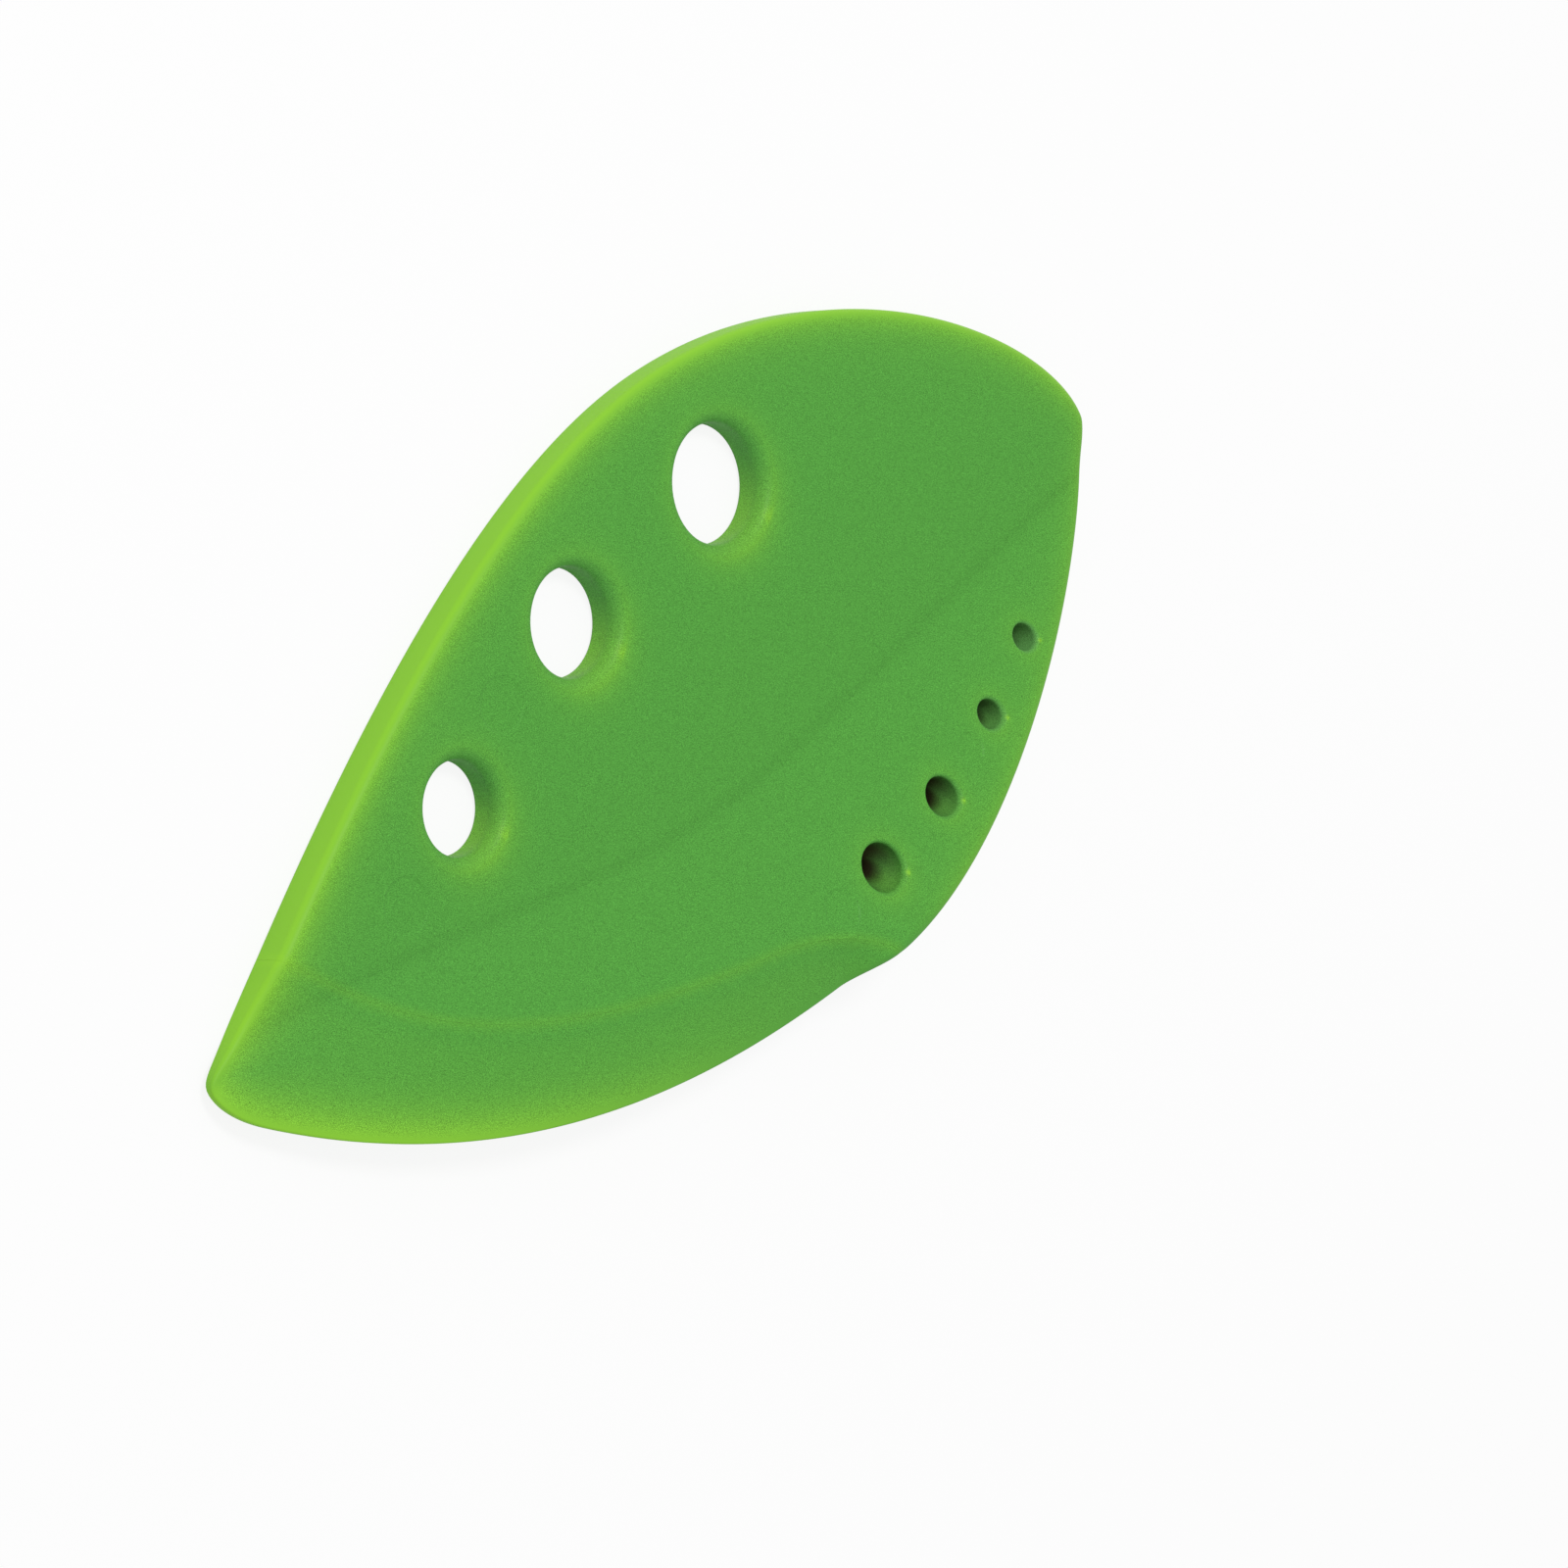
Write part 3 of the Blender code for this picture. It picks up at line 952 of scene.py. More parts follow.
    def apply(self, flat: bpy.types.Object, finish: bpy.types.Material) -> None:
        """Runs the tree on a flat plate and keeps the result as its mesh.

        Args:
            flat: the object that holds the flat plate.
            finish: the material.
        """
        modifier = flat.modifiers.new("moulded_leaf", "NODES")
        modifier.node_group = self.tree
        for name, value in {**self.values, "Finish": finish}.items():
            modifier[self.sockets[name]] = value
        bpy.context.view_layer.update()
        graph = bpy.context.evaluated_depsgraph_get()
        mesh = bpy.data.meshes.new_from_object(flat.evaluated_get(graph), depsgraph=graph)
        flat.modifiers.remove(modifier)
        flat.data = mesh
        form = bmesh.new()
        form.from_mesh(mesh)
        bmesh.ops.recalc_face_normals(form, faces=form.faces)
        for edge in form.edges:
            edge.smooth = edge.calc_face_angle(0) < SHARP_ANGLE
        form.to_mesh(mesh)
        form.free()
        mesh.name = flat.name


def open_edges(mesh: bpy.types.Mesh) -> int:
    """How many of a mesh's edges don't join exactly two faces."""
    faces_at = Counter(edge for face in mesh.polygons for edge in face.edge_keys)
    return sum(count != 2 for count in faces_at.values())


@dataclass
class FlatPlate:
    """A flat plate as it is put together: its corners on the plan with their heights, and its faces."""

    places: list[Points] = field(default_factory=list)
    faces: list[tuple[int, ...]] = field(default_factory=list)
    count: int = 0

    def add(self, places: Points, faces: list[tuple[int, ...]]) -> None:
        """Adds corners and the faces between them.

        Args:
            places: rows of (u, v, height).
            faces: each face's corners, numbered from the first of these.
        """
        self.places.append(places)
        self.faces += [tuple(corner + self.count for corner in face) for face in faces]
        self.count += len(places)


@dataclass
class MouldedPiece:
    """A piece of the leaf on one side of the step line. Its path is its own stretch of the leaf's outline,
    and its joint runs along the step line from the path's end back to its start."""

    name: str
    node: str
    plan: LeafPlan
    plate: Plate
    light: Glow
    fold: Fold
    joint_from_spine: bool = False

    def path(self) -> Points:
        """The piece's own stretch of the leaf's outline, clockwise, from joint to joint."""
        raise NotImplementedError

    def front(self, places: Points) -> Points:
        """The front's height at each place."""
        raise NotImplementedError

    def rim_share(self, places: Points) -> Points:
        """How strongly the rim's painted glow shows near each place, from 0 to 1."""
        raise NotImplementedError

    def holes(self) -> list[tuple[Points, StemHole]]:
        """The stem holes in this piece."""
        return []

    def clearance(self) -> Vector:
        """How far the finished piece is set off from its plan."""
        return Vector()

    def turned(self, line: Points) -> Points:
        """A line that runs from the spine to the heel, turned the way that this piece's joint runs."""
        return line if self.joint_from_spine else line[::-1]

    def territory(self) -> Points:
        """The closed plan outline of this piece."""
        return np.concatenate([self.path(), self.turned(self.plan.step_line())[1:-1]])

    def step_ends(self) -> tuple[Points, Points]:
        """The step line's direction into the leaf, at the path's start and at its end."""
        at_spine, at_heel = self.plan.step_directions()
        return (at_heel, at_spine) if self.joint_from_spine else (at_spine, at_heel)

    def step_rows(self) -> list[Points]:
        """Rows of points along this piece's side of the step line.

        Returns:
            The rows.
        """
        fine = self.plate.fine
        rows, side = (fine.blade_rows, -1) if self.joint_from_spine else (fine.body_rows, 1)
        return beside(self.plan.step_line(), rows, side, fine.station)

    def glow(self, places: Points) -> Points:
        """How much painted glow stands in for light coming through the plastic.

        Args:
            places: places on the plan.

        Returns:
            The glow at each place, from 0 to 1.
        """
        light = self.light
        glow = light.rim(distance_to(self.plan.outline, places), lengths(places)) * self.rim_share(places)
        for centre, hole in self.plan.hole_places():
            steps = places - centre
            away = np.maximum(lengths(steps) - hole.throat - hole.mouth, 0)
            # Painted glow round each mouth, with painted light on the side that faces the catch angle.
            near = np.exp(-away / light.hole_reach)
            caught = light.lip_catch * hole.catch * light.facing(steps, light.catch_angle) ** 2
            glow = glow * (1 - near) + np.maximum(glow, hole.halo + caught) * near
            # A small painted glint beside each mouth.
            glint = hole.glint * light.facing(steps, hole.glint_angle) ** light.glint_sharpness
            glow = glow + glint * np.exp(-((away / light.glint_reach) ** 2))
        # A painted highlight along the step line.
        most, reach = light.step
        off_step = distance_to(self.plan.step_line(), places) / reach
        return np.minimum(glow + most * np.exp(-(off_step**2)), 1)

    def rim_section(self) -> list[tuple[float, float, float, bool]]:
        """The rim's section from back to front.

        Returns:
            For each row, its offset and drop per unit of rounding, its guard, and whether it belongs to the
            front.
        """
        reach, guard = self.plate.front_reach, self.plate.fine.guard
        back, front = (np.linspace(0, pi / 2, rows) for rows in self.plate.fine.rim_rows)
        rows = [(1.0, 0.0, guard, False)]
        rows += [(1 - sin(a), 1 - cos(a), 0.0, False) for a in back]
        rows += [(reach * (1 - cos(a)), 1 - sin(a), 0.0, True) for a in front]
        rows += [(reach, 0.0, guard, True)]
        return rows

    def rim(self) -> Points:
        """The rim's corners.

        Returns:
            An array of stations along the path by rows of the section, each a (u, v, height).
        """
        plate, fine = self.plate, self.plate.fine
        path = evenly(self.path(), fine.station)
        steps = headings(path)
        inward = np.stack([steps[:, 1], -steps[:, 0]], axis=1)
        run = run_of(path)
        start, end = self.step_ends()
        towards_start = 1 - ease(run / fine.joint_lean)
        towards_end = 1 - ease((run[-1] - run) / fine.joint_lean)
        lean = inward * (1 - towards_start - towards_end)[:, None]
        lean += towards_start[:, None] * start + towards_end[:, None] * end
        lean /= (lean * inward).sum(axis=1)[:, None]
        share = np.clip(self.front(path) / plate.thickness, 0, 1)
        rows = []
        for offset, drop, guard, is_front in self.rim_section():
            rounding = (plate.front_rounding if is_front else plate.back_rounding) * share
            places = path + (offset * rounding + guard + plate.inset)[:, None] * lean
            height = self.front(places) - drop * rounding if is_front else drop * rounding
            rows.append(np.column_stack([places, height]))
        return np.stack(rows, axis=1)

    def add_rim(self, flat: FlatPlate, rim: Points) -> None:
        """Adds the rim's band of faces.

        Args:
            flat: the plate that takes it.
            rim: the rim's corners.
        """
        stations, rows = rim.shape[:2]
        firsts = [i * rows + k for i in range(stations - 1) for k in range(rows - 1)]
        flat.add(rim.reshape(-1, 3), [(a, a + 1, a + rows + 1, a + rows) for a in firsts])

    def mouths(self, is_front: bool) -> list[tuple[Points, float]]:
        """The centre and radius of each stem hole's mouth, in the piece's front or its back."""
        return [(centre, hole.mouth_radius(is_front)) for centre, hole in self.holes()]

    def guides(self, is_front: bool) -> list[Points]:
        """The rings and rows of points that a face's mesh follows.

        Args:
            is_front: whether the face is the front.

        Returns:
            The rings and rows.
        """
        fine = self.plate.fine
        ring, mark_ring = circle(fine.hole_segments), circle(2 * fine.hole_segments)
        found = []
        for centre, radius in self.mouths(is_front):
            found += [centre + (radius + more) * ring for more in fine.hole_rings]
        if is_front:
            for mark in self.plan.marks:
                radii = mark.radius + np.array(fine.mark_rings) * self.plate.mark_wall
                found += [mark.centre + radius * mark_ring for radius in radii]
            found += self.step_rows() + self.midrib_rows()
        return found

    def midrib_rows(self) -> list[Points]:
        """Rows of points that follow the midrib.

        Returns:
            The rows.
        """
        fine = self.plate.fine
        stations = np.arange(fine.midrib_from, self.plan.length, fine.station)
        middle = self.fold.midrib(stations, self.plan.length)
        return [np.column_stack([stations, middle + row * MM]) for row in fine.midrib_rows]

    def inner_places(self, boundary: Points, is_front: bool) -> Points:
        """The points inside a face: its guides, and a grid where they leave room.

        Args:
            boundary: the closed outline of the face.
            is_front: whether it is the front.

        Returns:
            The points on the plan.
        """
        fine, guides = self.plate.fine, self.guides(is_front)
        placed = np.concatenate(guides) if guides else np.empty((0, 2))
        low, high = boundary.min(axis=0), boundary.max(axis=0)
        axes = np.meshgrid(*(np.arange(low[axis], high[axis], fine.grid) for axis in (0, 1)))
        grid = np.stack([axis.ravel() for axis in axes], axis=1)
        taken = KDTree(len(placed))
        for number, place in enumerate(placed):
            taken.insert((*place, 0.0), number)
        taken.balance()
        crowded = [bool(taken.find_range((*place, 0.0), fine.crowding)) for place in grid]
        places = np.concatenate([grid[~np.array(crowded)], placed])
        places = places[inside(boundary, places)]
        places = places[distance_to(np.concatenate([boundary, boundary[:1]]), places) > fine.margin]
        for centre, radius in self.mouths(is_front):
            places = places[lengths(places - centre) > radius + fine.margin]
        return places

    def add_sheet(self, flat: FlatPlate, boundary: Points, is_front: bool) -> None:
        """Fills one face of the plate.

        Args:
            flat: the plate that takes it.
            boundary: the closed outline of the face, clockwise.
            is_front: whether it is the front.
        """
        ring, mouths = circle(self.plate.fine.hole_segments), self.mouths(is_front)
        loops = [boundary, *(centre + radius * ring for centre, radius in mouths)]
        edges, first = [], 0
        for loop in loops:
            edges += closed(first, len(loop))
            first += len(loop)
        every = np.concatenate([*loops, self.inner_places(boundary, is_front)])
        corners, triangles = triangulate(every, edges, SHEET_SLACK)
        places = corners * MM
        middles = places[triangles].mean(axis=1)
        kept = inside(places[: len(boundary)], middles)
        for centre, radius in mouths:
            kept &= lengths(middles - centre) > radius * self.plate.fine.hole_share
        height = self.front(places) if is_front else np.zeros(len(places))
        order = slice(None) if is_front else slice(None, None, -1)
        faces = [tuple(int(corner) for corner in triangle[order]) for triangle in triangles[kept]]
        flat.add(np.column_stack([places, height]), faces)

    def add_joint_wall(self, flat: FlatPlate, rim: Points, line: Points) -> None:
        """Closes the plate along the step line.

        Args:
            flat: the plate that takes the wall.
            rim: the rim's corners.
            line: the step line's points on the plan, from the path's end back to its start.
        """
        run, tops = run_of(line), self.front(line)

        def stretch(row: int) -> Points:
            """The numbers of the step line's points between the two ends of one row of the rim."""
            return np.arange(nearest(line, rim[-1, row, :2]), nearest(line, rim[0, row, :2]) + 1)

        corners = [(run[i], 0.0, *line[i], 0.0) for i in stretch(0)]
        corners += [(run[-1] - apart(place, line[-1]), place[2], *place) for place in rim[0, 1:]]
        corners += [(run[i], tops[i], *line[i], tops[i]) for i in stretch(-1)[-2::-1]]
        corners += [(apart(place, line[0]), place[2], *place) for place in rim[-1, -2:0:-1]]
        ring = np.array(corners)
        wall, triangles = triangulate(ring[:, :2], closed(0, len(ring)), WALL_SLACK)
        kept = inside(wall[: len(ring)], wall[triangles].mean(axis=1))
        flat.add(ring[:, 2:5], [tuple(int(corner) for corner in triangle) for triangle in triangles[kept]])

    def joint(self, rim: Points) -> Points:
        """The step line with its ends taken over by the rim's corners.

        Args:
            rim: the rim's corners.

        Returns:
            The line's points on the plan, from the path's end to its start.
        """
        line = self.turned(evenly(self.plan.step_line(), self.plate.fine.station))

        def corners(station: int, end: Points) -> Points:
            """The rim's corners on the plan at one of its ends, from the outline inwards."""
            found = {tuple(np.round(place, 9)) for place in rim[station, :, :2]}
            return np.array(sorted(found, key=lambda place: apart(np.array(place), end)))

        from_end, to_start = corners(-1, line[0]), corners(0, line[-1])
        reach_end = apart(from_end[-1], line[0]) + self.plate.fine.joint_room
        reach_start = apart(to_start[-1], line[-1]) + self.plate.fine.joint_room
        run = run_of(line)
        middle = line[(run > reach_end) & (run[-1] - run > reach_start)]
        return np.concatenate([from_end, middle, to_start[::-1]])

    def as_object(self, flat: FlatPlate) -> bpy.types.Object:
        """Turns the flat plate into an object, with the points and attributes that its tree reads.

        Args:
            flat: the corners and faces.

        Returns:
            The object, still flat.
        """
        places, holes = np.concatenate(flat.places), self.holes()
        marks = [mark for mark in self.plan.marks if inside(self.territory(), mark.centre[None])[0]]
        mark_places = np.array([mark.centre for mark in marks]).reshape(-1, 2)
        extra = [(*centre, 0.0) for centre, _ in holes]
        extra += [(*place, height) for place, height in zip(mark_places, self.front(mark_places))]
        every = np.concatenate([places, np.array(extra).reshape(-1, 3)])
        kinds = np.repeat([kind.value for kind in Kind], [len(places), len(holes), len(marks)])
        rounding = self.plate.front_rounding
        off_rim = distance_to(self.plan.outline, every[:, :2]) - self.plate.face_start * rounding
        face = ease(off_rim / (self.plate.face_fade * rounding))
        values = {"kind": kinds, "painted_glow": self.glow(every[:, :2]), "face": face}
        for name in (spec.name for spec in fields(StemHole) if spec.name not in ("station", "inset")):
            values[name] = np.zeros(len(every))
            values[name][kinds == Kind.HOLE.value] = [getattr(hole, name) for _, hole in holes]
        values["mark_radius"] = np.zeros(len(every))
        values["mark_radius"][kinds == Kind.MARK.value] = [mark.radius for mark in marks]
        mesh = bpy.data.meshes.new(self.name)
        mesh.from_pydata(every.tolist(), [], flat.faces)
        for name, numbers in values.items():
            mesh.attributes.new(name, "FLOAT", "POINT").data.foreach_set("value", numbers.astype(np.float32))
        piece = bpy.data.objects.new(self.name, mesh)
        bpy.context.scene.collection.objects.link(piece)
        return piece

    def make(self, tree: LeafTree, finish: bpy.types.Material) -> bpy.types.Object:
        """Builds the piece and puts it in place of its solid.

        Args:
            tree: the tree that moulds and folds it.
            finish: the material.

        Returns:
            The finished piece.
        """
        flat, rim = FlatPlate(), self.rim()
        line = self.joint(rim)
        self.add_rim(flat, rim)
        for is_front in (True, False):
            ring = rim[:, -1 if is_front else 0, :2]
            between = line[nearest(line, ring[-1]) + 1 : nearest(line, ring[0])]
            self.add_sheet(flat, np.concatenate([ring, between]), is_front)
        self.add_joint_wall(flat, rim, line)
        piece = self.as_object(flat)
        tree.apply(piece, finish)
        piece.data.transform(Matrix.Translation(self.clearance()))
        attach(piece, "root")
        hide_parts(self.node)
        return piece


@dataclass
class LeafBody(MouldedPiece):
    """The folded plate with the stem holes."""

    def path(self) -> Points:
        """From the spine's joint over the stem end to the heel.

        Returns:
            The path's points.
        """
        start, heel = self.plan.blade_start, self.plan.blade_heel
        spine, edge = self.plan.side(Side.SPINE), self.plan.side(Side.EDGE)
        along_spine, along_edge = spine[spine[:, 0] > start[0]], edge[edge[:, 0] > heel[0]]
        return np.concatenate([[start], along_spine, along_edge[-2::-1], [heel]])

    def front(self, places: Points) -> Points:
        """Level, but for a soft fall towards the step line."""
        near = 1 - distance_to(self.plan.step_line(), places) / self.plate.step_reach
        return self.plate.thickness - self.plate.step_drop * np.maximum(near, 0) ** 2

    def holes(self) -> list[tuple[Points, StemHole]]:
        """All the stem holes."""
        return self.plan.hole_places()

    def rim_share(self, places: Points) -> Points:
        """The rim's painted glow: full on the spine's side, and less beyond the heel.

        Args:
            places: places on the plan.

        Returns:
            The share at each place.
        """
        heel_share = ease((places[:, 0] - self.plan.blade_heel_at) / self.light.heel_fade)
        spine_share = self.light.spine_share(places)
        return spine_share + (1 - spine_share) * self.light.edge_side * heel_share


@dataclass
class ChoppingBlade(MouldedPiece):
    """The thin crescent from the nose along the lower edge."""

    joint_from_spine: bool = True

    def path(self) -> Points:
        """From the heel along the cutting edge round the nose to the spine's joint."""
        start, spine = self.plan.blade_start, self.plan.side(Side.SPINE)
        return np.concatenate([self.plan.cutting_edge()[::-1], spine[spine[:, 0] < start[0]][1:], [start]])

    def front(self, places: Points) -> Points:
        """Falls from the step line to a thin edge, but stays thick at the heel.

        Args:
            places: places on the plan.

        Returns:
            The front's height at each place.
        """
        plate = self.plate
        from_edge = distance_to(self.plan.cutting_edge(), places)
        from_line = distance_to(self.plan.step_line(), places)
        heel_share = ease(1 - lengths(places - self.plan.blade_heel) / plate.heel_reach)
        share = from_edge / np.maximum(from_edge + from_line, SHORT)
        share = 1 - (1 - share) * (1 - heel_share)
        share = np.where(from_line < ON_LINE, 1.0, share)
        root = plate.thickness - plate.step_drop
        return plate.blade_edge + (root - plate.blade_edge) * share

    def glow(self, places: Points) -> Points:
        """More painted glow where the blade is thin, most of all at the nose, and a little painted light over
        its body away from the step line.

        Args:
            places: places on the plan.

        Returns:
            The glow at each place.
        """
        light = self.light
        (most, reach), (near, far), (body, body_reach) = light.blade, light.blade_fade, light.blade_body
        from_edge = distance_to(self.plan.cutting_edge(), places)
        faded = most * (1 - ease((places[:, 0] - near) / (far - near)))
        painted_glow = faded * np.exp(-((from_edge / reach) ** light.blade_falloff))
        # Painted light over the blade's body, growing away from the step line.
        painted_blade_light = body * ease(distance_to(self.plan.step_line(), places) / body_reach)
        return np.maximum(super().glow(places), painted_glow) + painted_blade_light

    def rim_share(self, places: Points) -> Points:
        """The rim's painted glow: full on the spine's side of the nose."""
        return self.light.spine_share(places)

    def clearance(self) -> Vector:
        """A hair's breadth away from the body."""
        return Vector(self.plate.seam_side) * self.plate.seam


def srgb(red: int, green: int, blue: int) -> Colour:
    """A colour from its usual 0 to 255 numbers.

    Args:
        red, green, blue: its three numbers.

    Returns:
        The linear colour that a shader takes.
    """
    shares = [value / 255 for value in (red, green, blue)]
    linear = [share / 12.92 if share <= 0.04045 else ((share + 0.055) / 1.055) ** 2.4 for share in shares]
    return *linear, 1.0


class FinishGroups:
    """The shader groups that the finishes share."""

    def __init__(self) -> None:
        """Builds each group once."""
        self.grain = self.build_grain()
        self.glow = self.build_glow()

    @staticmethod
    def start(name: str, inputs: dict[str, str], outputs: dict[str, str]) -> Wiring:
        """Starts a group.

        Args:
            name: its name.
            inputs, outputs: its sockets' names and types.

        Returns:
            The wiring to fill it with.
        """
        tree = bpy.data.node_groups.new(name, "ShaderNodeTree")
        for way, sockets in (("INPUT", inputs), ("OUTPUT", outputs)):
            for socket, kind in sockets.items():
                tree.interface.new_socket(socket, in_out=way, socket_type="NodeSocket" + kind)
        return Wiring(tree)

    def build_grain(self) -> bpy.types.NodeTree:
        """A fine spark-eroded grain: a height for a bump and a faint change of colour.

        Returns:
            The group.
        """
        inputs = dict.fromkeys(("Scale", "Face", "Tint"), "Float")
        wiring = self.start("moulded_grain", inputs, {"Height": "Float", "Shade": "Float"})
        given = wiring.given()
        place = wiring.result("ShaderNodeTexCoord", output="Object")
        # Turned, so that no face of the part lies along the noise's own lattice.
        turning = {"Vector": place, "Axis": (0.3, 0.5, 0.8), "Angle": 0.7}
        turned = wiring.result("ShaderNodeVectorRotate", turning, "Vector")
        noise = {"Vector": turned, "Scale": given["Scale"], "Detail": 0.0}
        fine = wiring.result("ShaderNodeTexNoise", noise)
        shade = wiring.math("MULTIPLY_ADD", (fine - 0.5) * given["Face"], given["Tint"], 1.0)
        wiring.node("NodeGroupOutput", {"Height": fine * given["Face"], "Shade": shade})
        return wiring.tree

    def build_glow(self) -> bpy.types.NodeTree:
        """Colour with painted light and shade: it lightens and yellows with the painted glow that stands in
        for light coming through the plastic, turns paler in a hole's lining, and darkens with the painted
        shade deep in a hole and along the fold.

        Returns:
            The group.
        """
        inputs = dict.fromkeys(("Face Colour", "Painted Glow Colour", "Painted Lightening Colour", "Painted Hole Shade Colour"), "Color")
        inputs |= dict.fromkeys(("Painted Glow", "Painted Lightening", "Painted Hole Shade", "Painted Fold Shade", "Painted Fold Shade Depth", "Shade"), "Float")
        wiring = self.start("nylon_colour_and_painted_light", inputs, {"Colour": "Color"})
        given = wiring.given()
        lit = wiring.mix(given["Painted Glow"], given["Face Colour"], given["Painted Glow Colour"])
        lined = wiring.mix(given["Painted Lightening"], lit, given["Painted Lightening Colour"])
        deep = wiring.mix(given["Painted Hole Shade"], lined, given["Painted Hole Shade Colour"])
        level = given["Shade"] * (1 - given["Painted Fold Shade"] * given["Painted Fold Shade Depth"])
        shade = wiring.result("ShaderNodeCombineColor", {0: level, 1: level, 2: level})
        wiring.node("NodeGroupOutput", {"Colour": wiring.mix(1.0, deep, shade, "MULTIPLY")})
        return wiring.tree


@dataclass(frozen=True)
class SatinNylon:
    """Moulded nylon, slightly translucent, with a fine grain on its faces and smooth walls. Its edge colour
    is the painted glow's, its lining colour the painted lightening's, its deep colour the painted shade's
    deep in a hole, and its fold shade depth is how much the painted shade along the fold darkens.
    """

    name: str
    face: Colour
    edge: Colour
    lining: Colour
    deep: Colour
    roughness: float = 0.42
    gloss: float = 0.1
    grain_scale: float = 13000.0
    grain_depth: float = 0.005 * MM
    grain_tint: float = 1.7
    fold_shade_depth: float = 0.085

    def material(self, groups: FinishGroups) -> bpy.types.Material:
        """Builds the material.

        Args:
            groups: the shared shader groups.

        Returns:
            The material.
        """
        made = bpy.data.materials.new(self.name)
        made.use_nodes = True
        wiring = Wiring(made.node_tree)
        # The painted glow, the grain's share, the painted shade along the fold, and the painted lightening
        # and shade of a hole's lining.
        names = ("painted_glow", "face", "crease_shade", "painted_lightening", "painted_hole_shade")
        edge, face, crease_shade, pale, dark = [
            wiring.result("ShaderNodeAttribute", output="Fac", attribute_name=name) for name in names
        ]
        grained = {"Scale": self.grain_scale, "Face": face, "Tint": self.grain_tint}
        grain = wiring.node("ShaderNodeGroup", grained, node_tree=groups.grain)
        toned = {
            "Face Colour": self.face,
            "Painted Glow Colour": self.edge,
            "Painted Lightening Colour": self.lining,
            "Painted Hole Shade Colour": self.deep,
            "Painted Glow": edge,
            "Painted Lightening": pale,
            "Painted Hole Shade": dark,
            "Painted Fold Shade": crease_shade * face,
            "Painted Fold Shade Depth": self.fold_shade_depth,
            "Shade": grain.outputs["Shade"],
        }
        colour = wiring.result("ShaderNodeGroup", toned, "Colour", node_tree=groups.glow)
        bumped = {"Height": grain.outputs["Height"], "Strength": 1.0, "Distance": self.grain_depth}
        surface = {
            "Base Color": colour,
            "Normal": wiring.result("ShaderNodeBump", bumped, "Normal"),
            "Roughness": self.roughness,
            "Specular IOR Level": self.gloss,
        }
        wiring.fill(made.node_tree.nodes["Principled BSDF"], surface)
        return made


@dataclass(frozen=True)
class Lamp:
    """A round soft lamp: its direction, distance, width and power."""

    name: str
    direction: tuple[float, float, float]
    distance: float
    width: float
    power: float

    def build(self) -> None:
        """Hangs the lamp so that it faces the part."""
        lamp = bpy.data.lights.new(self.name, "AREA")
        lamp.shape = "DISK"
        lamp.size = self.width
        lamp.energy = self.power
        holder = bpy.data.objects.new(self.name, lamp)
        direction = Vector(self.direction).normalized()
        turned = direction.to_track_quat("Z", "Y").to_matrix().to_4x4()
        holder.matrix_world = Matrix.Translation(direction * self.distance) @ turned
        bpy.context.scene.collection.objects.link(holder)


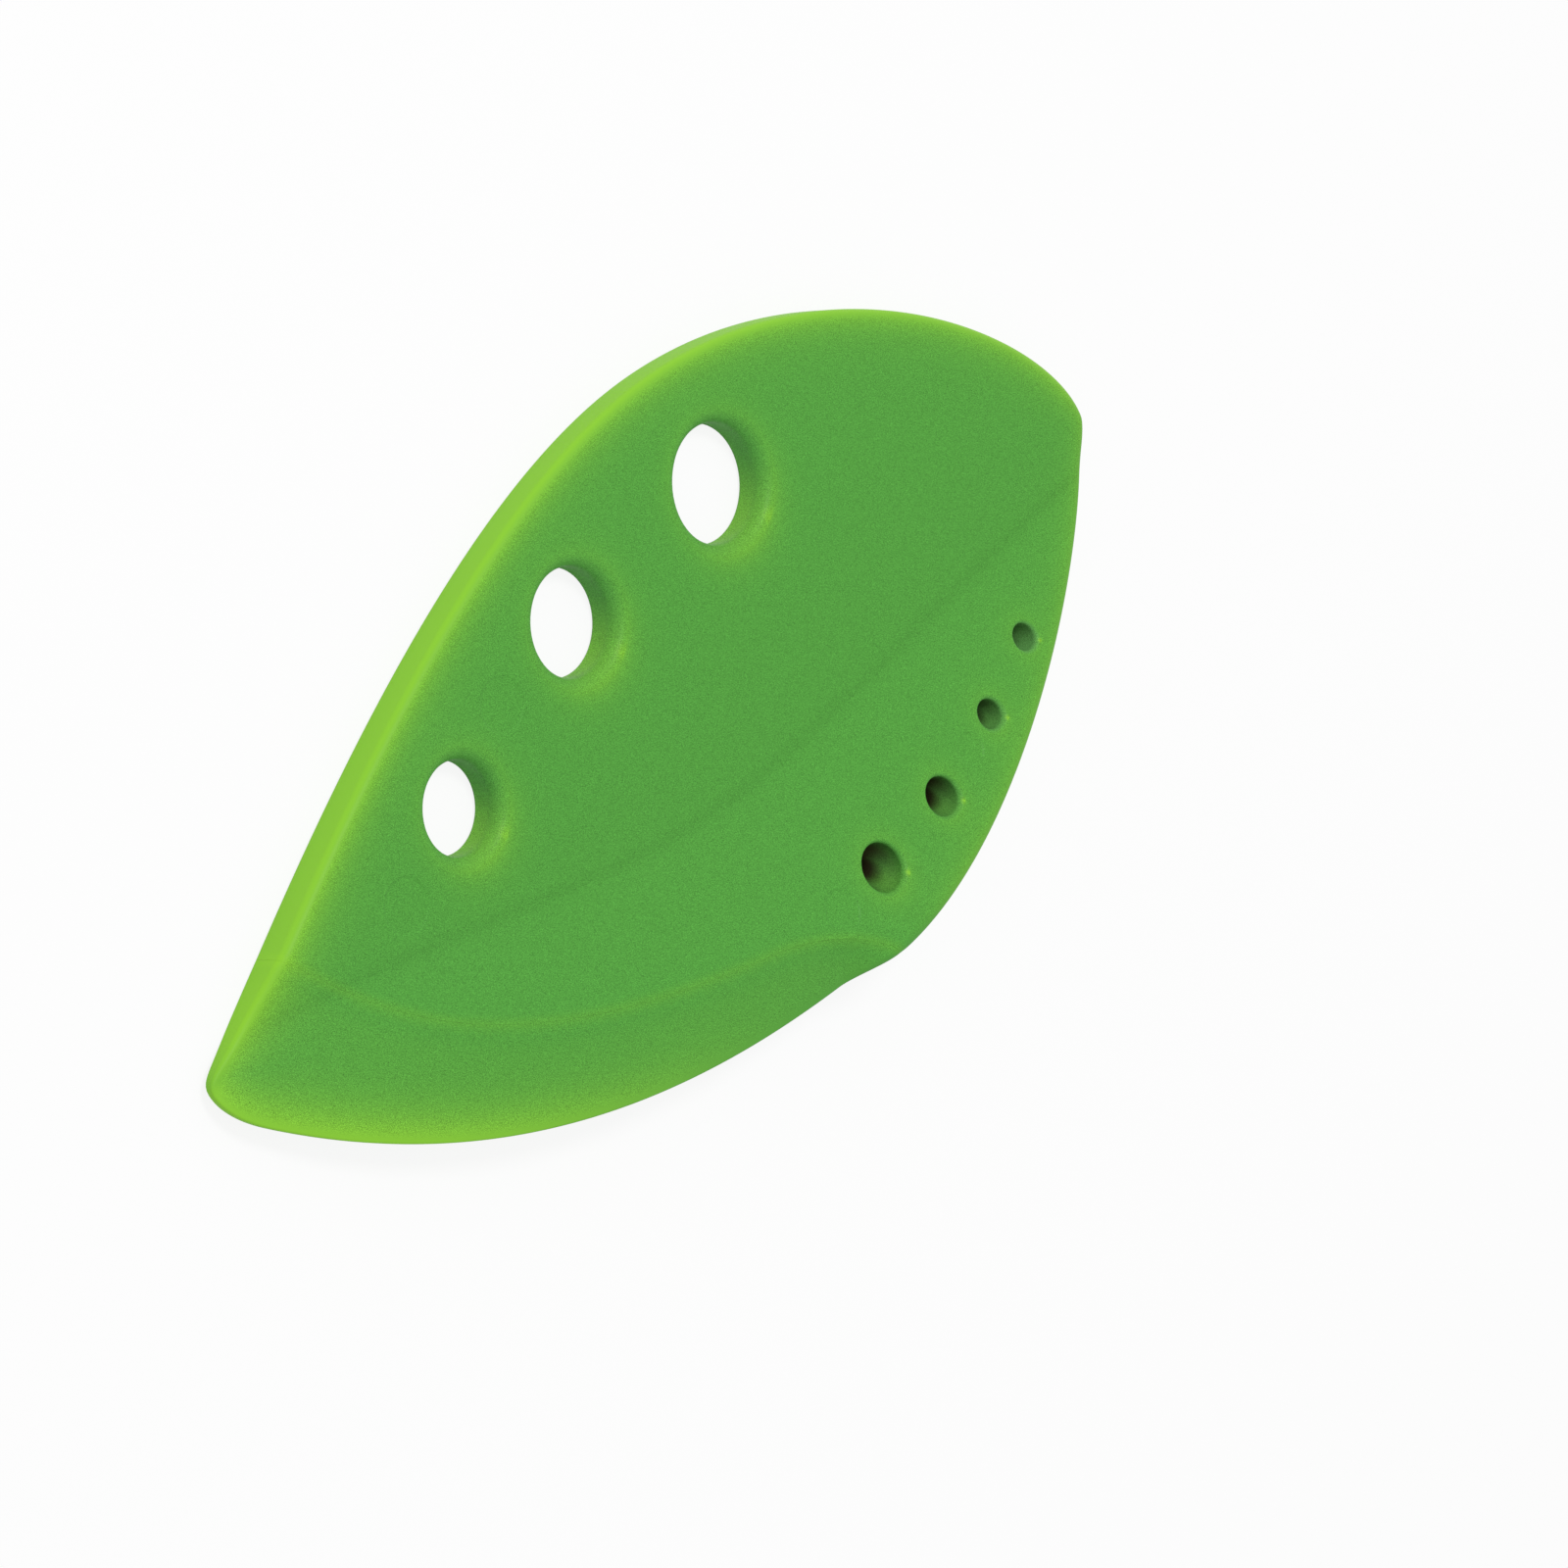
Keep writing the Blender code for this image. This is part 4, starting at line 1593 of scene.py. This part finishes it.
@dataclass(frozen=True)
class Studio:
    """A pale floor, soft light and the camera."""

    floor_half: float = 3.0
    floor_drop: float = 0.05 * MM
    floor_white: float = 0.90
    floor_glow: float = 0.88
    world_strength: float = 0.56
    lamps: tuple[Lamp, ...] = (Lamp("top", (0.02, 0.45, 0.89), distance=0.9, width=0.25, power=3.6),)
    camera_place: tuple[float, float, float] = (-0.48307, 0.27187, 0.5754)
    camera_right: tuple[float, float, float] = (0.61237, -0.35355, 0.70711)
    camera_up: tuple[float, float, float] = (0.5, 0.86603, 0.0)
    lens: float = 162.0
    sensor: float = 36.0
    clip: tuple[float, float] = (0.01, 20.0)

    def build(self) -> None:
        """Sets up the floor, the world, the lamp, the camera and the view."""
        self.floor()
        self.world()
        for lamp in self.lamps:
            lamp.build()
        self.camera()
        bpy.context.scene.view_settings.view_transform = "Standard"

    def floor(self) -> None:
        """A plain pale floor just below the part."""
        half, drop = self.floor_half, -self.floor_drop
        mesh = bpy.data.meshes.new("floor")
        corners = [(-half, -half, drop), (half, -half, drop), (half, half, drop), (-half, half, drop)]
        mesh.from_pydata(corners, [], [(0, 1, 2, 3)])
        floor = bpy.data.objects.new("floor", mesh)
        bpy.context.scene.collection.objects.link(floor)
        made = bpy.data.materials.new("pale floor")
        made.use_nodes = True
        wiring = Wiring(made.node_tree)
        made.node_tree.nodes.clear()
        white = (self.floor_white, self.floor_white, self.floor_white, 1)
        matt = wiring.result("ShaderNodeBsdfDiffuse", {"Color": white})
        lit = wiring.result("ShaderNodeEmission", {"Color": (1, 1, 1, 1), "Strength": 1.0})
        seen = wiring.result("ShaderNodeLightPath", output="Is Camera Ray")
        mixed = wiring.result("ShaderNodeMixShader", {0: seen * self.floor_glow, 1: matt, 2: lit})
        wiring.node("ShaderNodeOutputMaterial", {"Surface": mixed})
        mesh.materials.append(made)

    def world(self) -> None:
        """An even white sky, which shows as plain white."""
        world = bpy.data.worlds.new("soft sky")
        bpy.context.scene.world = world
        world.use_nodes = True
        wiring = Wiring(world.node_tree)
        world.node_tree.nodes.clear()
        seen = wiring.result("ShaderNodeLightPath", output="Is Camera Ray")
        strength = wiring.math("MULTIPLY_ADD", seen, 1 - self.world_strength, self.world_strength)
        sky = wiring.result("ShaderNodeBackground", {"Color": (1, 1, 1, 1), "Strength": strength})
        wiring.node("ShaderNodeOutputWorld", {"Surface": sky})

    def camera(self) -> None:
        """The camera at the photograph's angle."""
        camera = bpy.data.cameras.new("camera")
        camera.sensor_width = self.sensor
        camera.sensor_fit = "HORIZONTAL"
        camera.lens = self.lens
        camera.clip_start, camera.clip_end = self.clip
        holder = bpy.data.objects.new("camera", camera)
        right, up = Vector(self.camera_right).normalized(), Vector(self.camera_up).normalized()
        turned = Matrix((right, up, right.cross(up))).transposed().to_4x4()
        holder.matrix_world = Matrix.Translation(self.camera_place) @ turned
        bpy.context.scene.collection.objects.link(holder)
        bpy.context.scene.camera = holder


def main() -> None:
    """Builds the part's pieces, their finishes and the studio."""
    logging.basicConfig(level=logging.INFO, format="%(message)s")
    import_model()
    groups = FinishGroups()
    # The face's own colour, then the colours of the painted glow, the painted lightening of a hole's lining
    # and the painted shade deep in a hole.
    colours = srgb(86, 162, 65), srgb(145, 210, 56), srgb(106, 169, 91), srgb(40, 37, 21)
    nylon = SatinNylon("green nylon", *colours)
    thin_nylon = SatinNylon("green nylon edge", *colours)
    plan, plate, glow, fold = LeafPlan(), Plate(), Glow(), Fold()
    tree = LeafTree(plan, plate, glow, fold)
    body = LeafBody("leaf", "leaf_body", plan, plate, glow, fold)
    blade = ChoppingBlade("blade", "chopping_blade", plan, plate, glow, fold)
    for piece, finish in ((body, nylon), (blade, thin_nylon)):
        mesh = piece.make(tree, finish.material(groups)).data
        log.info("%s: %d faces, %d open edges", piece.name, len(mesh.polygons), open_edges(mesh))
    Studio().build()


if __name__ == "__main__":
    main()
